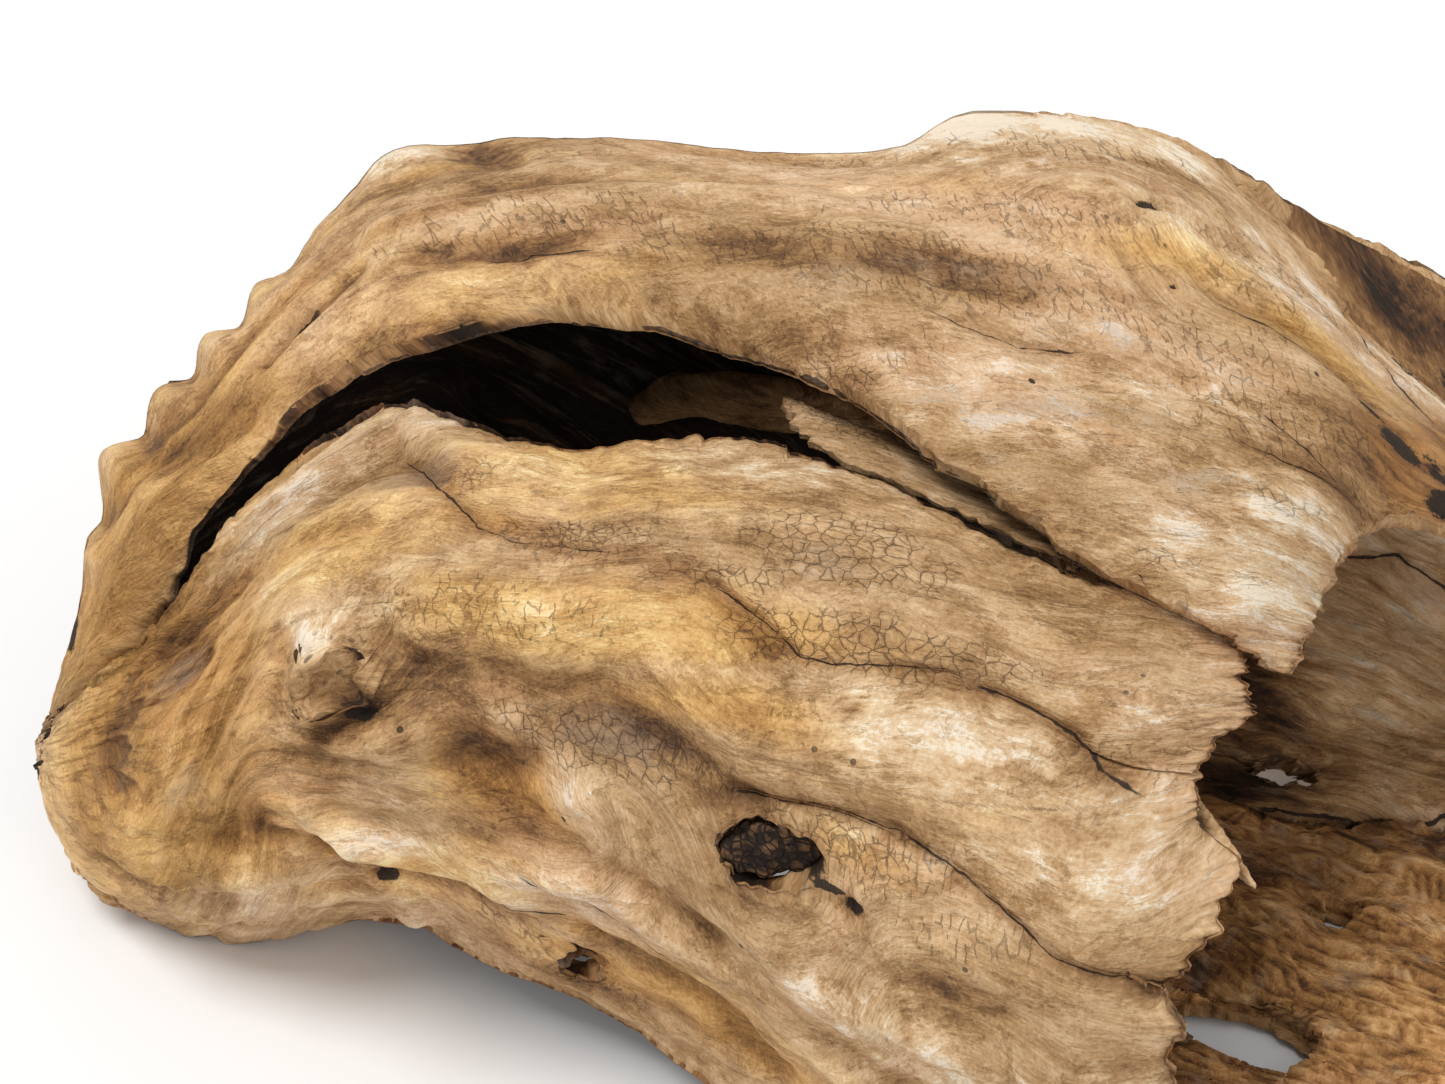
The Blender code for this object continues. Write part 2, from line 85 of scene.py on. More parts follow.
# Knobs and dents: (along, round, length, width, height).
KNOBS = [
    (95, 129, 7, 11, 5.5), (107, 130, 5, 10, -3.0), (120, 132, 7, 10, 5.0), (130, 132, 5, 10, -3.0),
    (141, 133, 7, 10, 5.0), (151, 134, 5, 10, -3.0), (163, 136, 7, 10, 4.5), (176, 137, 8, 10, -3.0),
    (80, 125, 6, 8, -3.5), (66, 120, 8, 8, 4.0),
    (98, 44, 9, 7, -4.0), (112, 18, 12, 9, -3.5), (62, 8, 12, 9, -3.0), (132, 40, 9, 7, 3.0),
    (140, 2, 10, 6, 3.0), (118, -4, 10, 5, -3.0), (92, 62, 22, 4, -2.5), (80, 30, 10, 8, 3.0),
    (224, 140, 10, 12, 3.5), (240, 136, 8, 14, -6.5), (252, 130, 8, 10, 1.0), (218, 134, 12, 10, -2.5),
    (300, 135, 30, 10, -2.0), (357, 139, 16, 14, 4.0), (338, 139, 9, 9, -2.0), (352, 141, 5, 6, 2.5),
    (390, 121, 13, 10, 4.0), (390, 121, 3.0, 2.6, -6.0), (388, 109, 9, 7, 2.5),
    (388, 109, 2.6, 2.2, -3.0), (393, 120, 5, 2, -1.5),
    (148, 34, 9, 8, 5.0), (160, 29, 9, 8, 6.5), (171, 30, 6, 6, 3.5), (165, 15, 9, 5, -3.5),
    (172, 17, 5, 4, -6.0), (178, 23, 6, 5, 2.5), (178, 12, 8, 5, 4.0), (158, 18, 7, 6, 2.5),
    (140, 26, 9, 8, -3.0), (152, -12, 8, 2.6, -6.0), (148, -20, 5, 2.2, -5.0),
    (228, 8, 11, 9, 4.0), (229, 7, 3, 2.4, -1.6), (214, 12, 9, 6, -2.5),
    (283, 8, 23, 17, 3.5), (283, 8, 15, 10, -4.5), (304, 4.5, 5, 3.5, -5.0), (312, 8, 9, 6, 2.0),
    (207, -24, 7, 4, -4.0), (196, -28, 10, 6, 2.0), (216, -28, 9, 5, 2.0),
    (145, -36, 6, 5, 5.0), (86, 44, 14, 10, -3.5), (100, 21, 18, 12, 4.0), (127, 1, 16, 10, -4.0),
    (110, 42, 16, 9, 3.5), (72, 12, 14, 10, -3.0), (120, -14, 14, 9, 4.0), (84, -8, 12, 9, 3.0),
    (365, 34, 7, 5, 1.5), (301, -8, 18, 10, 2.5), (331, -2, 20, 9, -2.5),
    (344, 88, 30, 16, 1.5), (318, 60, 26, 10, 1.2), (421, 93, 20, 14, -2.0),
    (392, 62, 16, 9, 1.8), (402, 55, 8, 8, -3.0), (404, 71, 14, 10, 1.5), (388, 52, 7, 7, 2.5),
    (330, 200, 24, 18, 6.0), (330, 200, 6, 5, -6.0), (190, 182, 18, 14, 5.0), (420, 184, 16, 12, 4.0),
    (252, 228, 18, 14, 5.0), (252, 228, 4, 4, -5.0), (140, 214, 20, 16, 4.0), (385, 232, 20, 14, 4.0),
]

# Swellings of the closed end: (x, y, z, radius, height), in millimetres in the frame.
SWELLINGS = [
    (-250, 2, 30, 16, 5), (-244, 6, 52, 15, 4), (-246, -4, 12, 15, 4), (-238, -14, 36, 13, 3),
    (-232, 0, 68, 13, 4), (-226, -18, 20, 14, 4), (-214, -26, 40, 14, -3),
]

# Ridges and valleys: (places, width, height).
FOLDS = [
    ([(98, 96), (125, 84), (145, 82), (173, 86), (192, 72), (214, 64)], 8, 4.5),
    ([(150, 72), (172, 75), (199, 50), (226, 46), (247, 44), (263, 41), (280, 33)], 5, -3.8),
    ([(118, 70), (150, 62), (180, 58), (205, 56), (240, 58), (290, 50)], 7, 2.5),
    ([(135, 48), (165, 44), (196, 38), (226, 36), (250, 34), (270, 28)], 9, 4.5),
    ([(182, 27), (197, 23), (215, 24), (240, 24), (262, 20), (280, 14)], 6, -4.0),
    ([(186, 22), (197, 15), (203, 7), (212, 1), (232, -2), (262, -6)], 8, -4.0),
    ([(158, -4), (174, -4), (194, -9), (229, -4), (262, -12), (300, -20)], 6, 5.5),
    ([(140, -15), (176, -17), (205, -17), (240, -18), (275, -26)], 6, -3.5),
    ([(276, 15), (296, 16), (317, 15), (333, 12), (355, 6), (380, 2)], 3, -1.8),
    ([(299, 21), (322, 22), (345, 18), (372, 12)], 9, 2.2),
    ([(283, 33), (298, 33), (311, 33), (335, 31), (351, 27), (366, 21)], 3, -2.2),
    ([(262, -2), (290, -9), (318, -8), (345, -8), (372, -12)], 7, 2.6),
    ([(270, -14), (296, -18), (325, -16), (355, -20)], 6, -2.8),
    ([(206, 113), (233, 110), (262, 110), (290, 108)], 4, -2.8),
    ([(200, 121), (236, 119), (270, 118), (305, 119)], 5, 2.4),
    ([(150, 113), (171, 114), (190, 116)], 2.5, -3.0),
    ([(110, 112), (140, 106), (170, 102), (205, 99), (240, 99)], 6, -2.6),
    ([(90, 118), (130, 120), (170, 122), (210, 124), (250, 124)], 6, -2.2),
    ([(262, 96), (300, 92), (340, 96), (380, 92)], 8, -1.5),
    ([(396, 110), (415, 108), (428, 104), (441, 101)], 3, -2.2),
    ([(394, 84), (404, 84), (419, 84)], 2.2, -1.8),
    ([(392, 118), (404, 113), (417, 112), (436, 117), (452, 118)], 5, 3.0),
    ([(60, 60), (90, 66), (118, 68)], 6, -3.0),
    ([(50, 30), (86, 32), (120, 38)], 7, -3.0),
    ([(60, 0), (96, 4), (130, 12)], 8, 3.4),
    ([(90, -30), (120, -26), (150, -28)], 6, 3.0), ([(60, -16), (100, -20), (138, -22)], 4, -2.5),
    ([(122, 58), (146, 50), (176, 50)], 5, -1.8),
    ([(150, 2), (160, -4), (172, -9), (190, -13), (214, -18)], 5, 4.5),
    ([(146, -6), (154, -12), (166, -16), (180, -18)], 3.5, -4.0),
    ([(120, 162), (200, 170), (300, 166), (380, 172), (450, 168)], 12, -4.5),
    ([(90, 188), (180, 196), (260, 190), (340, 198), (430, 194)], 10, 4.5),
    ([(90, 214), (170, 222), (280, 214), (380, 220), (440, 216)], 9, -4.5),
    ([(140, 236), (240, 244), (340, 236), (420, 240)], 9, 4.0),
    ([(230, 152), (330, 150), (420, 156), (480, 158)], 8, 3.5),
    ([(270, 180), (330, 184), (400, 180)], 4, -3.0), ([(110, 202), (160, 206), (230, 204)], 4, -2.6),
]

# Long cracks on the outside: (places, width, strength).
CRACKS = [
    ([(266, 40), (279, 36), (290, 32), (298, 32), (311, 33), (324, 34)], 0.21, 0.9),
    ([(330, 32), (338, 31), (351, 27), (358, 23), (367, 20)], 0.29, 1.0),
    ([(276, 14.5), (296, 15.5), (317, 14.5), (333, 12), (342, 10), (355, 6), (379, 2)], 0.29, 1.0),
    ([(156, 113), (165, 114), (172, 114.5)], 0.67, 1.0),
    ([(395, 109), (407, 106), (418, 104.5), (428, 104)], 0.21, 0.9),
    ([(394, 85), (404, 84), (419, 84)], 0.25, 1.0),
    ([(172, 75), (184, 62), (199, 49), (211, 46), (226, 46), (239, 45)], 0.15, 0.7),
    ([(402, 91), (412, 86), (419, 84)], 0.17, 0.7),
    ([(220, 110), (233, 110), (247, 108)], 0.25, 0.8),
    ([(436, 133), (438, 124), (441, 116), (452, 112)], 0.34, 0.9),
    ([(322, 98), (345, 94), (362, 96)], 0.13, 0.6),
    ([(205, -6), (230, -10), (252, -16)], 0.17, 0.6),
    ([(176, -9), (190, -14), (212, -14)], 0.21, 0.7),
    ([(250, 180), (275, 183), (300, 180), (330, 184), (352, 183)], 0.45, 1.0),
    ([(138, 205), (165, 203), (196, 207)], 0.35, 0.9),
    ([(372, 207), (402, 210), (430, 207), (460, 211)], 0.45, 1.0),
    ([(196, 232), (230, 229), (266, 233)], 0.35, 0.9),
    ([(300, 158), (345, 161), (388, 159)], 0.3, 0.8),
]
# Splits and ribs on the inner walls: (places, width, strength).
INNER_CRACKS = [
    ([(421, -174), (440, -170), (456, -172), (475, -165), (495, -168)], 0.6, 1.0),
    ([(398, -110), (425, -106), (440, -103), (462, -104)], 0.9, 0.8),
]

# Patches of colour and of checks: (along, round, length, width, amount).
BROWN = [
    (70, 50, 50, 80, 0.62), (110, 118, 60, 22, 0.35), (120, 5, 40, 30, 0.45), (200, -2, 24, 9, 0.5),
    (225, 119, 36, 4, 0.8), (232, 111, 26, 3, 0.9), (92, 62, 30, 6, 0.5), (130, -2, 20, 5, 0.6),
    (62, 8, 14, 10, 0.5), (112, 18, 12, 9, 0.6), (150, 20, 10, 10, 0.5), (98, 44, 9, 7, 0.5),
    (290, 106, 34, 12, 0.6), (335, 105, 30, 12, 0.95), (298, 86, 14, 6, 0.7), (250, 113, 50, 8, 0.5),
    (245, 121, 50, 6, 0.5), (203, 128, 40, 8, 0.4), (294, 49, 24, 11, 0.35), (305, 36, 30, 7, 0.4),
    (240, 19, 34, 10, 0.72), (268, 14, 16, 7, 0.55), (203, 12, 16, 10, 0.85), (198, 0, 14, 9, 0.7),
    (190, 66, 20, 5, 0.5), (205, -30, 40, 8, 0.8), (240, -26, 40, 8, 0.6), (265, -12, 34, 8, 0.5),
    (180, -28, 18, 8, 0.6), (130, 10, 22, 14, 0.6), (158, 8, 14, 12, 0.7), (140, 112, 40, 7, 0.5),
    (90, 100, 34, 12, 0.5), (66, 84, 20, 14, 0.5), (40, 60, 20, 20, 0.5), (350, 72, 40, 5, 0.35),
    (415, 84, 14, 8, 0.5), (165, 100, 40, 5, 0.4), (320, -22, 40, 8, 0.4), (425, 94, 18, 12, 0.6),
    (215, 101, 50, 5, 0.3), (385, 108, 16, 8, 0.4), (172, 19, 10, 6, 0.8), (100, 3, 24, 12, 0.55),
    (110, 122, 40, 8, 0.5), (150, 128, 60, 6, 0.35), (400, 100, 20, 8, 0.4), (60, 30, 16, 14, 0.4),
    (120, 60, 26, 5, 0.4), (410, 66, 8, 5, 0.5), (180, 38, 30, 4, 0.35), (355, 40, 20, 6, 0.4),
    (350, 4, 26, 7, 0.4), (265, 104, 30, 10, 0.45), (310, 118, 30, 5, 0.4), (345, 115, 24, 6, 0.45),
    (330, 200, 26, 16, 0.9), (190, 182, 22, 14, 0.8), (400, 176, 44, 14, 0.6), (262, 212, 70, 16, 0.7),
    (130, 200, 44, 26, 0.6), (450, 204, 34, 30, 0.6), (252, 228, 20, 14, 0.7), (300, 170, 70, 8, 0.5),
    (70, 190, 40, 30, 0.6), (360, 236, 60, 12, 0.7), (452, 138, 50, 5, 0.9),
    (95, 25, 50, 45, 0.55), (90, -15, 60, 24, 0.42),
    (60, 100, 50, 40, 0.35), (150, -8, 14, 5, 0.6), (190, 2, 26, 6, 0.5),
]
PALE = [
    (326, 26, 44, 10, 0.78), (300, 29, 26, 5, 0.5), (372, 136, 46, 15, 1.5),
    (365, 20, 20, 12, 0.5), (355, -18, 40, 10, 0.4),
    (270, 66, 46, 9, 0.6), (225, 62, 30, 8, 0.5), (345, -10, 40, 12, 0.45), (385, 90, 40, 9, 0.4),
    (368, 136, 36, 10, 1.0), (350, 128, 18, 6, 0.6), (226, 140, 14, 9, 1.0), (382, 92, 14, 5, 0.8),
    (170, -4, 26, 6, 0.35), (228, 9, 11, 7, 0.45), (310, -6, 34, 7, 0.5), (345, -8, 26, 7, 0.4),
    (330, 24, 40, 8, 0.6), (355, 14, 30, 8, 0.5), (300, 68, 40, 7, 0.4), (405, 74, 22, 9, 0.8),
    (158, 30, 10, 7, 0.7), (270, 62, 60, 7, 0.4), (175, 33, 20, 6, 0.4), (110, -20, 44, 11, 0.55),
    (397, 58, 12, 8, 0.5), (240, 128, 60, 7, 0.3), (420, 116, 30, 6, 0.5), (350, 100, 60, 5, 0.3),
    (130, 76, 30, 6, 0.5), (340, 80, 50, 5, 0.5), (70, 20, 14, 7, 0.3), (362, 30, 20, 6, 0.5),
    (276, 22, 16, 5, 0.4), (215, -8, 24, 4, 0.4), (372, 140, 40, 12, 1.5), (388, 60, 26, 14, 0.95),
    (355, -14, 50, 16, 0.95), (336, 14, 40, 8, 0.5), (290, 160, 70, 10, 0.8), (225, 198, 44, 10, 0.7),
    (380, 196, 60, 9, 0.8), (170, 168, 50, 12, 0.6), (300, 238, 70, 10, 0.7), (440, 170, 40, 12, 0.6),
    (455, 126, 40, 6, 0.9),
]
GOLD = [
    (230, 62, 60, 16, 0.8), (90, 30, 60, 50, 0.7), (100, 110, 70, 30, 0.6), (150, 55, 50, 14, 0.6),
    (270, -25, 90, 12, 0.6), (330, 122, 60, 8, 0.3), (200, 105, 60, 20, 0.4),
    (240, 34, 60, 11, 1.0), (282, 25, 34, 8, 0.9), (195, 52, 30, 9, 0.5), (208, 6, 22, 10, 0.9),
    (160, 46, 34, 12, 0.7), (185, -6, 34, 8, 0.6), (110, 30, 40, 26, 0.5), (330, 18, 30, 8, 0.3),
    (90, 70, 40, 20, 0.5), (150, 120, 60, 14, 0.5), (230, -16, 60, 8, 0.5), (310, 28, 30, 5, 0.5),
    (395, 114, 26, 9, 0.8), (420, 108, 20, 7, 0.8), (200, 132, 50, 9, 0.5), (330, 134, 40, 8, 0.4),
    (310, 12, 24, 8, 0.6), (240, 105, 50, 7, 0.4), (270, -20, 50, 8, 0.5),
    (200, 205, 90, 18, 0.7), (400, 212, 60, 18, 0.6), (110, 175, 50, 24, 0.6),
    (320, 222, 60, 14, 0.7), (235, -24, 50, 9, 1.0),
    (90, 0, 60, 40, 0.9), (170, -8, 40, 9, 0.9), (140, -22, 60, 8, 0.7), (60, 60, 50, 60, 0.8),
]
GREY = [
    (180, 66, 20, 7, 0.8), (86, 42, 14, 9, 0.7), (72, 12, 12, 8, 0.5), (318, 74, 40, 6, 0.5),
    (150, 102, 40, 5, 0.3), (290, 46, 20, 10, 0.5), (330, 82, 30, 8, 0.4), (100, 8, 18, 8, 0.5),
    (240, 18, 30, 8, 0.6), (60, 44, 12, 10, 0.4), (340, 106, 26, 8, 0.5), (355, 84, 40, 6, 0.5),
    (305, 100, 30, 8, 0.4), (380, 76, 20, 6, 0.5), (365, 98, 24, 8, 0.4), (140, -12, 20, 6, 0.4),
    (250, 186, 60, 14, 0.7), (350, 224, 40, 12, 0.6), (150, 190, 40, 14, 0.5), (430, 184, 40, 12, 0.7),
]
BURNT = [
    (440, 97, 18, 12, 1.0), (450, 92, 16, 12, 1.0), (462, 102, 26, 26, 1.0), (428, 101, 8, 4, 0.5),
]
# Near-black places: the burnt wood at the crown's far end, and painted shade in knot holes and dents.
SCORCHED_AND_PIT_SHADE = [
    (437, 98.5, 8, 4.5, 1.0), (447, 93, 8, 5, 1.0), (430, 101.5, 6, 2.2, 0.7), (445, 99, 6, 4, 0.8),
    (452, 88, 8, 5, 0.9), (464, 96, 12, 5, 0.7), (284, 8, 13, 8.5, 1.1), (304, 4.5, 3.6, 2.8, 1.1),
    (171, 16.5, 5.0, 2.6, 1.1), (207, -24, 5.5, 3, 1.1), (151, -15, 9, 2.6, 1.5),
    (148, -21, 4, 1.8, 1.1), (390, 121, 2.6, 2.3, 1.4), (388, 109, 1.6, 1.4, 0.8),
    (346, 88, 1.0, 1.0, 1.2), (372, 141, 4, 1.6, 1.0), (298, 6, 6, 1.6, 1.0), (40, 122, 9, 5, 1.0),
    (452, 128, 20, 4, 0.7), (472, 134, 16, 6, 1.0), (486, 139, 14, 8, 1.0),
    (330, 200, 5, 4, 1.2), (252, 228, 3.5, 3, 1.2), (192, 183, 2.2, 2, 1.1),
]
FINE_CHECKED = [
    (335, 105, 36, 14, 1.0), (205, 33, 32, 8, 0.9), (380, 132, 34, 9, 0.8), (235, 115, 34, 7, 0.8),
    (405, 92, 26, 12, 0.9), (395, 100, 26, 10, 0.7), (350, 117, 40, 9, 0.8), (280, 108, 40, 8, 0.6),
    (210, -28, 34, 6, 0.5), (300, 90, 50, 8, 0.4), (310, 11, 26, 10, 0.7), (330, 6, 26, 8, 0.5),
    (232, 47, 30, 7, 0.6), (405, 112, 20, 7, 0.6), (356, 24, 26, 8, 0.4), (270, 17, 14, 7, 0.7),
    (420, 120, 30, 8, 0.6), (300, 132, 60, 8, 0.4), (190, -22, 20, 5, 0.5),
    (300, 190, 44, 12, 0.9), (220, 174, 34, 10, 0.8), (400, 218, 44, 12, 0.8), (160, 226, 40, 12, 0.8),
]
SCALED = [
    (296, 50, 26, 12, 1.0), (305, 35, 34, 8, 1.0), (238, 17, 34, 9, 0.9), (232, 48, 26, 5, 0.7),
    (300, 12, 22, 8, 0.7), (200, 62, 14, 6, 0.5), (265, 42, 22, 6, 0.6), (403, 76, 10, 5, 0.5),
    (296, 86, 14, 6, 0.8), (245, 112, 20, 5, 0.6), (370, 60, 14, 4, 0.5),
    (170, 206, 26, 10, 0.9), (352, 178, 28, 9, 0.8), (280, 232, 26, 9, 0.8), (440, 192, 24, 9, 0.7),
]
PITTED = [
    (309, 22, 20, 5, 1.0), (365, 34, 8, 6, 1.0), (300, 26, 14, 4, 0.7), (165, 26, 12, 8, 0.8),
    (225, 14, 14, 6, 0.8), (290, 1, 14, 4, 0.7), (330, 3, 14, 5, 0.8), (195, -22, 22, 5, 0.6),
    (380, 118, 12, 7, 0.5), (245, 112, 16, 4, 0.6), (190, 96, 20, 4, 0.5), (360, 10, 14, 5, 0.6),
    (345, 60, 14, 4, 0.5), (250, 26, 14, 5, 0.5), (100, 12, 14, 8, 0.5),
]
# Rotten and burnt places on the inner walls and on the floor of the hollow.
INNER_DARK = [
    (425, -105, 14, 3, 1.0), (441, -102, 9, 4, 1.0), (455, -96, 12, 4, 0.9), (398, -118, 26, 12, 0.9),
    (390, -90, 26, 10, 0.9), (384, -140, 24, 20, 0.8), (418, 178, 9, 4, 0.9), (372, -60, 12, 8, 0.8),
    (405, -132, 12, 5, 0.6), (470, -112, 20, 4, 0.7), (440, -60, 12, 3, 0.7), (412, -76, 10, 3, 0.8),
]
INNER_PALE = [
    (456, -178, 30, 8, 0.9), (440, -160, 40, 7, 0.7), (460, -135, 30, 5, 0.6), (430, -148, 20, 4, 0.6),
    (430, -48, 40, 9, 0.7), (446, -82, 22, 5, 0.7), (415, -56, 26, 7, 0.6), (470, -60, 30, 10, 0.6),
]


# ---------------------------------------------------------------- wood coordinates

def mm(points):
    return points / MM


def smoothstep(low, high, x):
    t = np.clip((x - low) / (high - low), 0, 1)
    return t * t * (3 - 2 * t)


def core_at(along):
    """Point on the core of the log at each distance from the butt."""
    marks = np.linalg.norm(CORE - CORE[0], axis=1)
    q = np.clip(along, 0, marks[-1] + 60)
    i = np.clip(np.searchsorted(marks, q) - 1, 0, len(marks) - 2)
    gap = (marks[i + 1] - marks[i])[:, None]
    t = (q - marks[i])[:, None] / gap
    slope = np.gradient(CORE, marks, axis=0)
    return (
        (2 * t**3 - 3 * t**2 + 1) * CORE[i] + (t**3 - 2 * t**2 + t) * gap * slope[i]
        + (3 * t**2 - 2 * t**3) * CORE[i + 1] + (t**3 - t**2) * gap * slope[i + 1]
    )


def unit(vectors):
    return vectors / np.maximum(np.linalg.norm(vectors, axis=-1, keepdims=True), 1e-9)


class Wood:
    """Wood coordinates and directions at points given in millimetres."""

    def __init__(self, points):
        self.points = points
        self.along = np.linalg.norm(points - CORE[0], axis=1)
        core = core_at(self.along)
        grain = unit(core_at(self.along + 2) - core)
        out = points - core
        out = out - grain * (out * grain).sum(1, keepdims=True)
        front = unit(np.array([0, -1.0, 0]) + grain * grain[:, 1:2])
        up = np.cross(front, grain)
        up = np.where(up[:, 2:3] < 0, -up, up)
        self.radius = np.linalg.norm(out, axis=1)
        self.round = np.degrees(np.arctan2((out * up).sum(1), (out * front).sum(1)))
        middle = math.degrees(math.atan2(
            np.sin(np.radians(self.round)).sum(), np.cos(np.radians(self.round)).sum()
        ))
        self.round = middle + (self.round - middle + 180) % 360 - 180
        self.round = np.where(middle < -100, self.round + 360, self.round)
        self.arc = np.radians(self.round) * MEAN_RADIUS
        self.out = unit(points - core)
        self.grain = unit(grain - self.out * (grain * self.out).sum(1, keepdims=True))

    def offset(self, along, round_):
        """How far each point is from a place, along and across the grain."""
        turn = (self.round - round_ + 180) % 360 - 180
        return self.along - along, np.radians(turn) * self.radius


def patch(wood, places):
    """Soft patches of the given places: each fades from its amount to 0."""
    total = np.zeros(len(wood.along))
    for along, round_, length, width, amount in places:
        du, dv = wood.offset(along, round_)
        total = np.maximum(total, amount * np.exp(-((du / length) ** 2 + (dv / width) ** 2)))
    return total


def line_distance(wood, places):
    """Distance of each point from the line through the places, with a sign for its side."""
    best = np.full(len(wood.along), 1e9)
    side = np.ones(len(wood.along))
    for (a0, r0), (a1, r1) in zip(places, places[1:]):
        du, dv = wood.offset(a0, r0)
        eu, ev = a1 - a0, np.radians(r1 - r0) * wood.radius
        t = np.clip((du * eu + dv * ev) / (eu * eu + ev * ev), 0, 1)
        gap = np.hypot(du - t * eu, dv - t * ev)
        nearer = gap < best
        best = np.where(nearer, gap, best)
        side = np.where(nearer, np.sign(eu * dv - ev * du + 1e-9), side)
    return best * side


# ---------------------------------------------------------------- chance

DIRECTIONS = unit(np.random.default_rng(7).normal(size=(256, 3)))
SHUFFLE = np.random.default_rng(8).permutation(256)


def noise(points, seed=0):
    """Smooth random values, about -1 to 1, at points of shape (n, 3)."""
    cell = np.floor(points).astype(np.int64)
    f = points - cell
    w = f * f * f * (f * (f * 6 - 15) + 10)
    total = np.zeros(len(points))
    for i, j, k in np.ndindex(2, 2, 2):
        key = SHUFFLE[(cell[:, 0] + i + seed * 31) & 255]
        key = SHUFFLE[(key + cell[:, 1] + j) & 255]
        key = SHUFFLE[(key + cell[:, 2] + k) & 255]
        step = f - (i, j, k)
        weight = (
            (w[:, 0] if i else 1 - w[:, 0]) * (w[:, 1] if j else 1 - w[:, 1])
            * (w[:, 2] if k else 1 - w[:, 2])
        )
        total += weight * (DIRECTIONS[key] * step).sum(1)
    return total * 1.6


def layered(points, size, octaves=3, seed=0):
    """Noise of several sizes, starting with one size per axis in millimetres."""
    q = points / np.asarray(size, float)
    return sum(noise(q * 2**i, seed + i) * 0.5**i for i in range(octaves))


# ---------------------------------------------------------------- grain and relief

def grain_lines(wood):
    """Distance along and across the flowing grain at each point."""
    u, v = wood.along.copy(), wood.arc.copy()
    x, y, z = wood.points.T
    sheet = smoothstep(135, 60, wood.along) * smoothstep(100, 62, wood.round)
    u += sheet * (x + 0.6 * y + BUTT - u)
    v += sheet * (1.15 * z - 0.3 * y - v)
    for along, round_, radius, turn in EDDIES:
        du, dv = wood.offset(along, round_)
        angle = np.radians(turn) * np.exp(-(du**2 + dv**2) / radius**2)
        u += du * np.cos(angle) - dv * np.sin(angle) - du
        v += du * np.sin(angle) + dv * np.cos(angle) - dv
    for along, round_, radius in KNOTS:
        du, dv = wood.offset(along, round_)
        gap = du**2 + dv**2
        rings = np.exp(-1.5 * gap / radius**2)
        v -= dv * 0.95 * radius**2 / (gap + radius**2)
        v += rings * (np.sqrt(gap) - v * 0.02)
    warp = np.stack([u, v, wood.radius * 0.3], 1)
    v += 6 * noise(warp / (70, 40, 60), 3) + 3.0 * noise(warp / (26, 16, 30), 4)
    v += 1.0 * noise(warp / (11, 8, 30), 5)
    return np.stack([u, v], 1)


def folds(wood, grain):
    """Height in millimetres of the folds, furrows and knobs on the outside of the wood."""
    flow = np.stack([grain[:, 0], grain[:, 1], np.zeros(len(grain))], 1)
    ridged = 1 - 2 * np.abs(noise(flow / (80, 15, 1), 11))
    height = 1.2 * ridged + 1.0 * noise(flow / (36, 8, 1), 12) + 0.5 * noise(flow / (15, 5.5, 1), 14)
    lumps = np.stack([wood.along, wood.arc, wood.radius * 0], 1)
    height += patch(wood, BURLS) * 2.4 * layered(lumps, (17, 13, 1), 3, 13)
    height += 0.5 * layered(lumps, (13, 10, 1), 2, 15)
    for along, round_, length, width, rise in KNOBS:
        du, dv = wood.offset(along, round_)
        height += rise * np.exp(-((du / length) ** 2 + (dv / width) ** 2))
    for places, width, rise in FOLDS:
        height += rise * np.exp(-((line_distance(wood, places) / width) ** 2))
    for x, y, z, radius, rise in SWELLINGS:
        gap = ((wood.points - (x, y, z)) ** 2).sum(1)
        height += rise * np.exp(-gap / radius**2)
    return height


def furrows(grain, lumps):
    """Fine height of the fibres that the weather has left standing."""
    flow = np.stack([grain[:, 0], grain[:, 1], np.zeros(len(grain))], 1)
    fibre = 1 - 2 * np.abs(noise(flow / (16, 3.4, 1), 21))
    return (
        0.26 * fibre + 0.20 * noise(flow / (11, 2.1, 1), 22) + 0.18 * noise(flow / (5, 3.2, 1), 23)
        + 0.16 * noise(lumps / (3.0, 3.0, 9), 24)
    )


def crack_field(wood, cracks):
    """Signed distance to the nearest long crack, how present it is there, and its width."""
    count = len(wood.along)
    nearest_line, present, width = np.full(count, 20.0), np.zeros(count), np.ones(count)
    for places, wide, strength in cracks:
        gap = line_distance(wood, places)
        ends = (places[0][0], places[-1][0])
        within = smoothstep(min(ends) - 4, min(ends) + 5, wood.along)
        within = within * smoothstep(max(ends) + 4, max(ends) - 5, wood.along)
        closer = np.abs(gap) < np.abs(nearest_line)
        nearest_line = np.where(closer, gap, nearest_line)
        present = np.where(closer, strength * within * smoothstep(8, 5, np.abs(gap)), present)
        width = np.where(closer, wide, width)
    return nearest_line, present, width


# ---------------------------------------------------------------- pieces

def clean_cage(node):
    """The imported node's mesh with its seams welded and its triangles paired into quads."""
    cage = bmesh.new()
    cage.from_mesh(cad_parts[node].data)
    bmesh.ops.remove_doubles(cage, verts=cage.verts, dist=2e-6)
    bmesh.ops.join_triangles(
        cage, faces=cage.faces, cmp_seam=False, cmp_sharp=False, cmp_uvs=False, cmp_vcols=False,
        cmp_materials=False, angle_face_threshold=math.radians(35),
        angle_shape_threshold=math.radians(60),
    )
    cage.normal_update()
    return cage


PLATES = [
    "crown_slab", "rear_plate", "torn_strip", "shoulder_plate", "belly_plate", "skirt_plate",
    "back_wall", "floor_shelf", "butt_base", "butt_core",
]
TREES = {}
for plate in PLATES:
    welded = clean_cage(plate)
    TREES[plate] = BVHTree.FromBMesh(welded)
    welded.free()
JOINED = {
    "shoulder_plate": ["belly_plate", "crown_slab", "butt_core"],
    "belly_plate": ["shoulder_plate", "skirt_plate", "butt_core"],
    "skirt_plate": ["belly_plate", "butt_base", "butt_core"],
    "crown_slab": ["back_wall", "shoulder_plate", "butt_core"],
    "back_wall": ["crown_slab", "butt_base", "floor_shelf", "butt_core", "rear_plate"],
    "floor_shelf": ["back_wall"],
    "butt_base": ["skirt_plate", "back_wall", "butt_core"],
    "rear_plate": ["back_wall"],
}


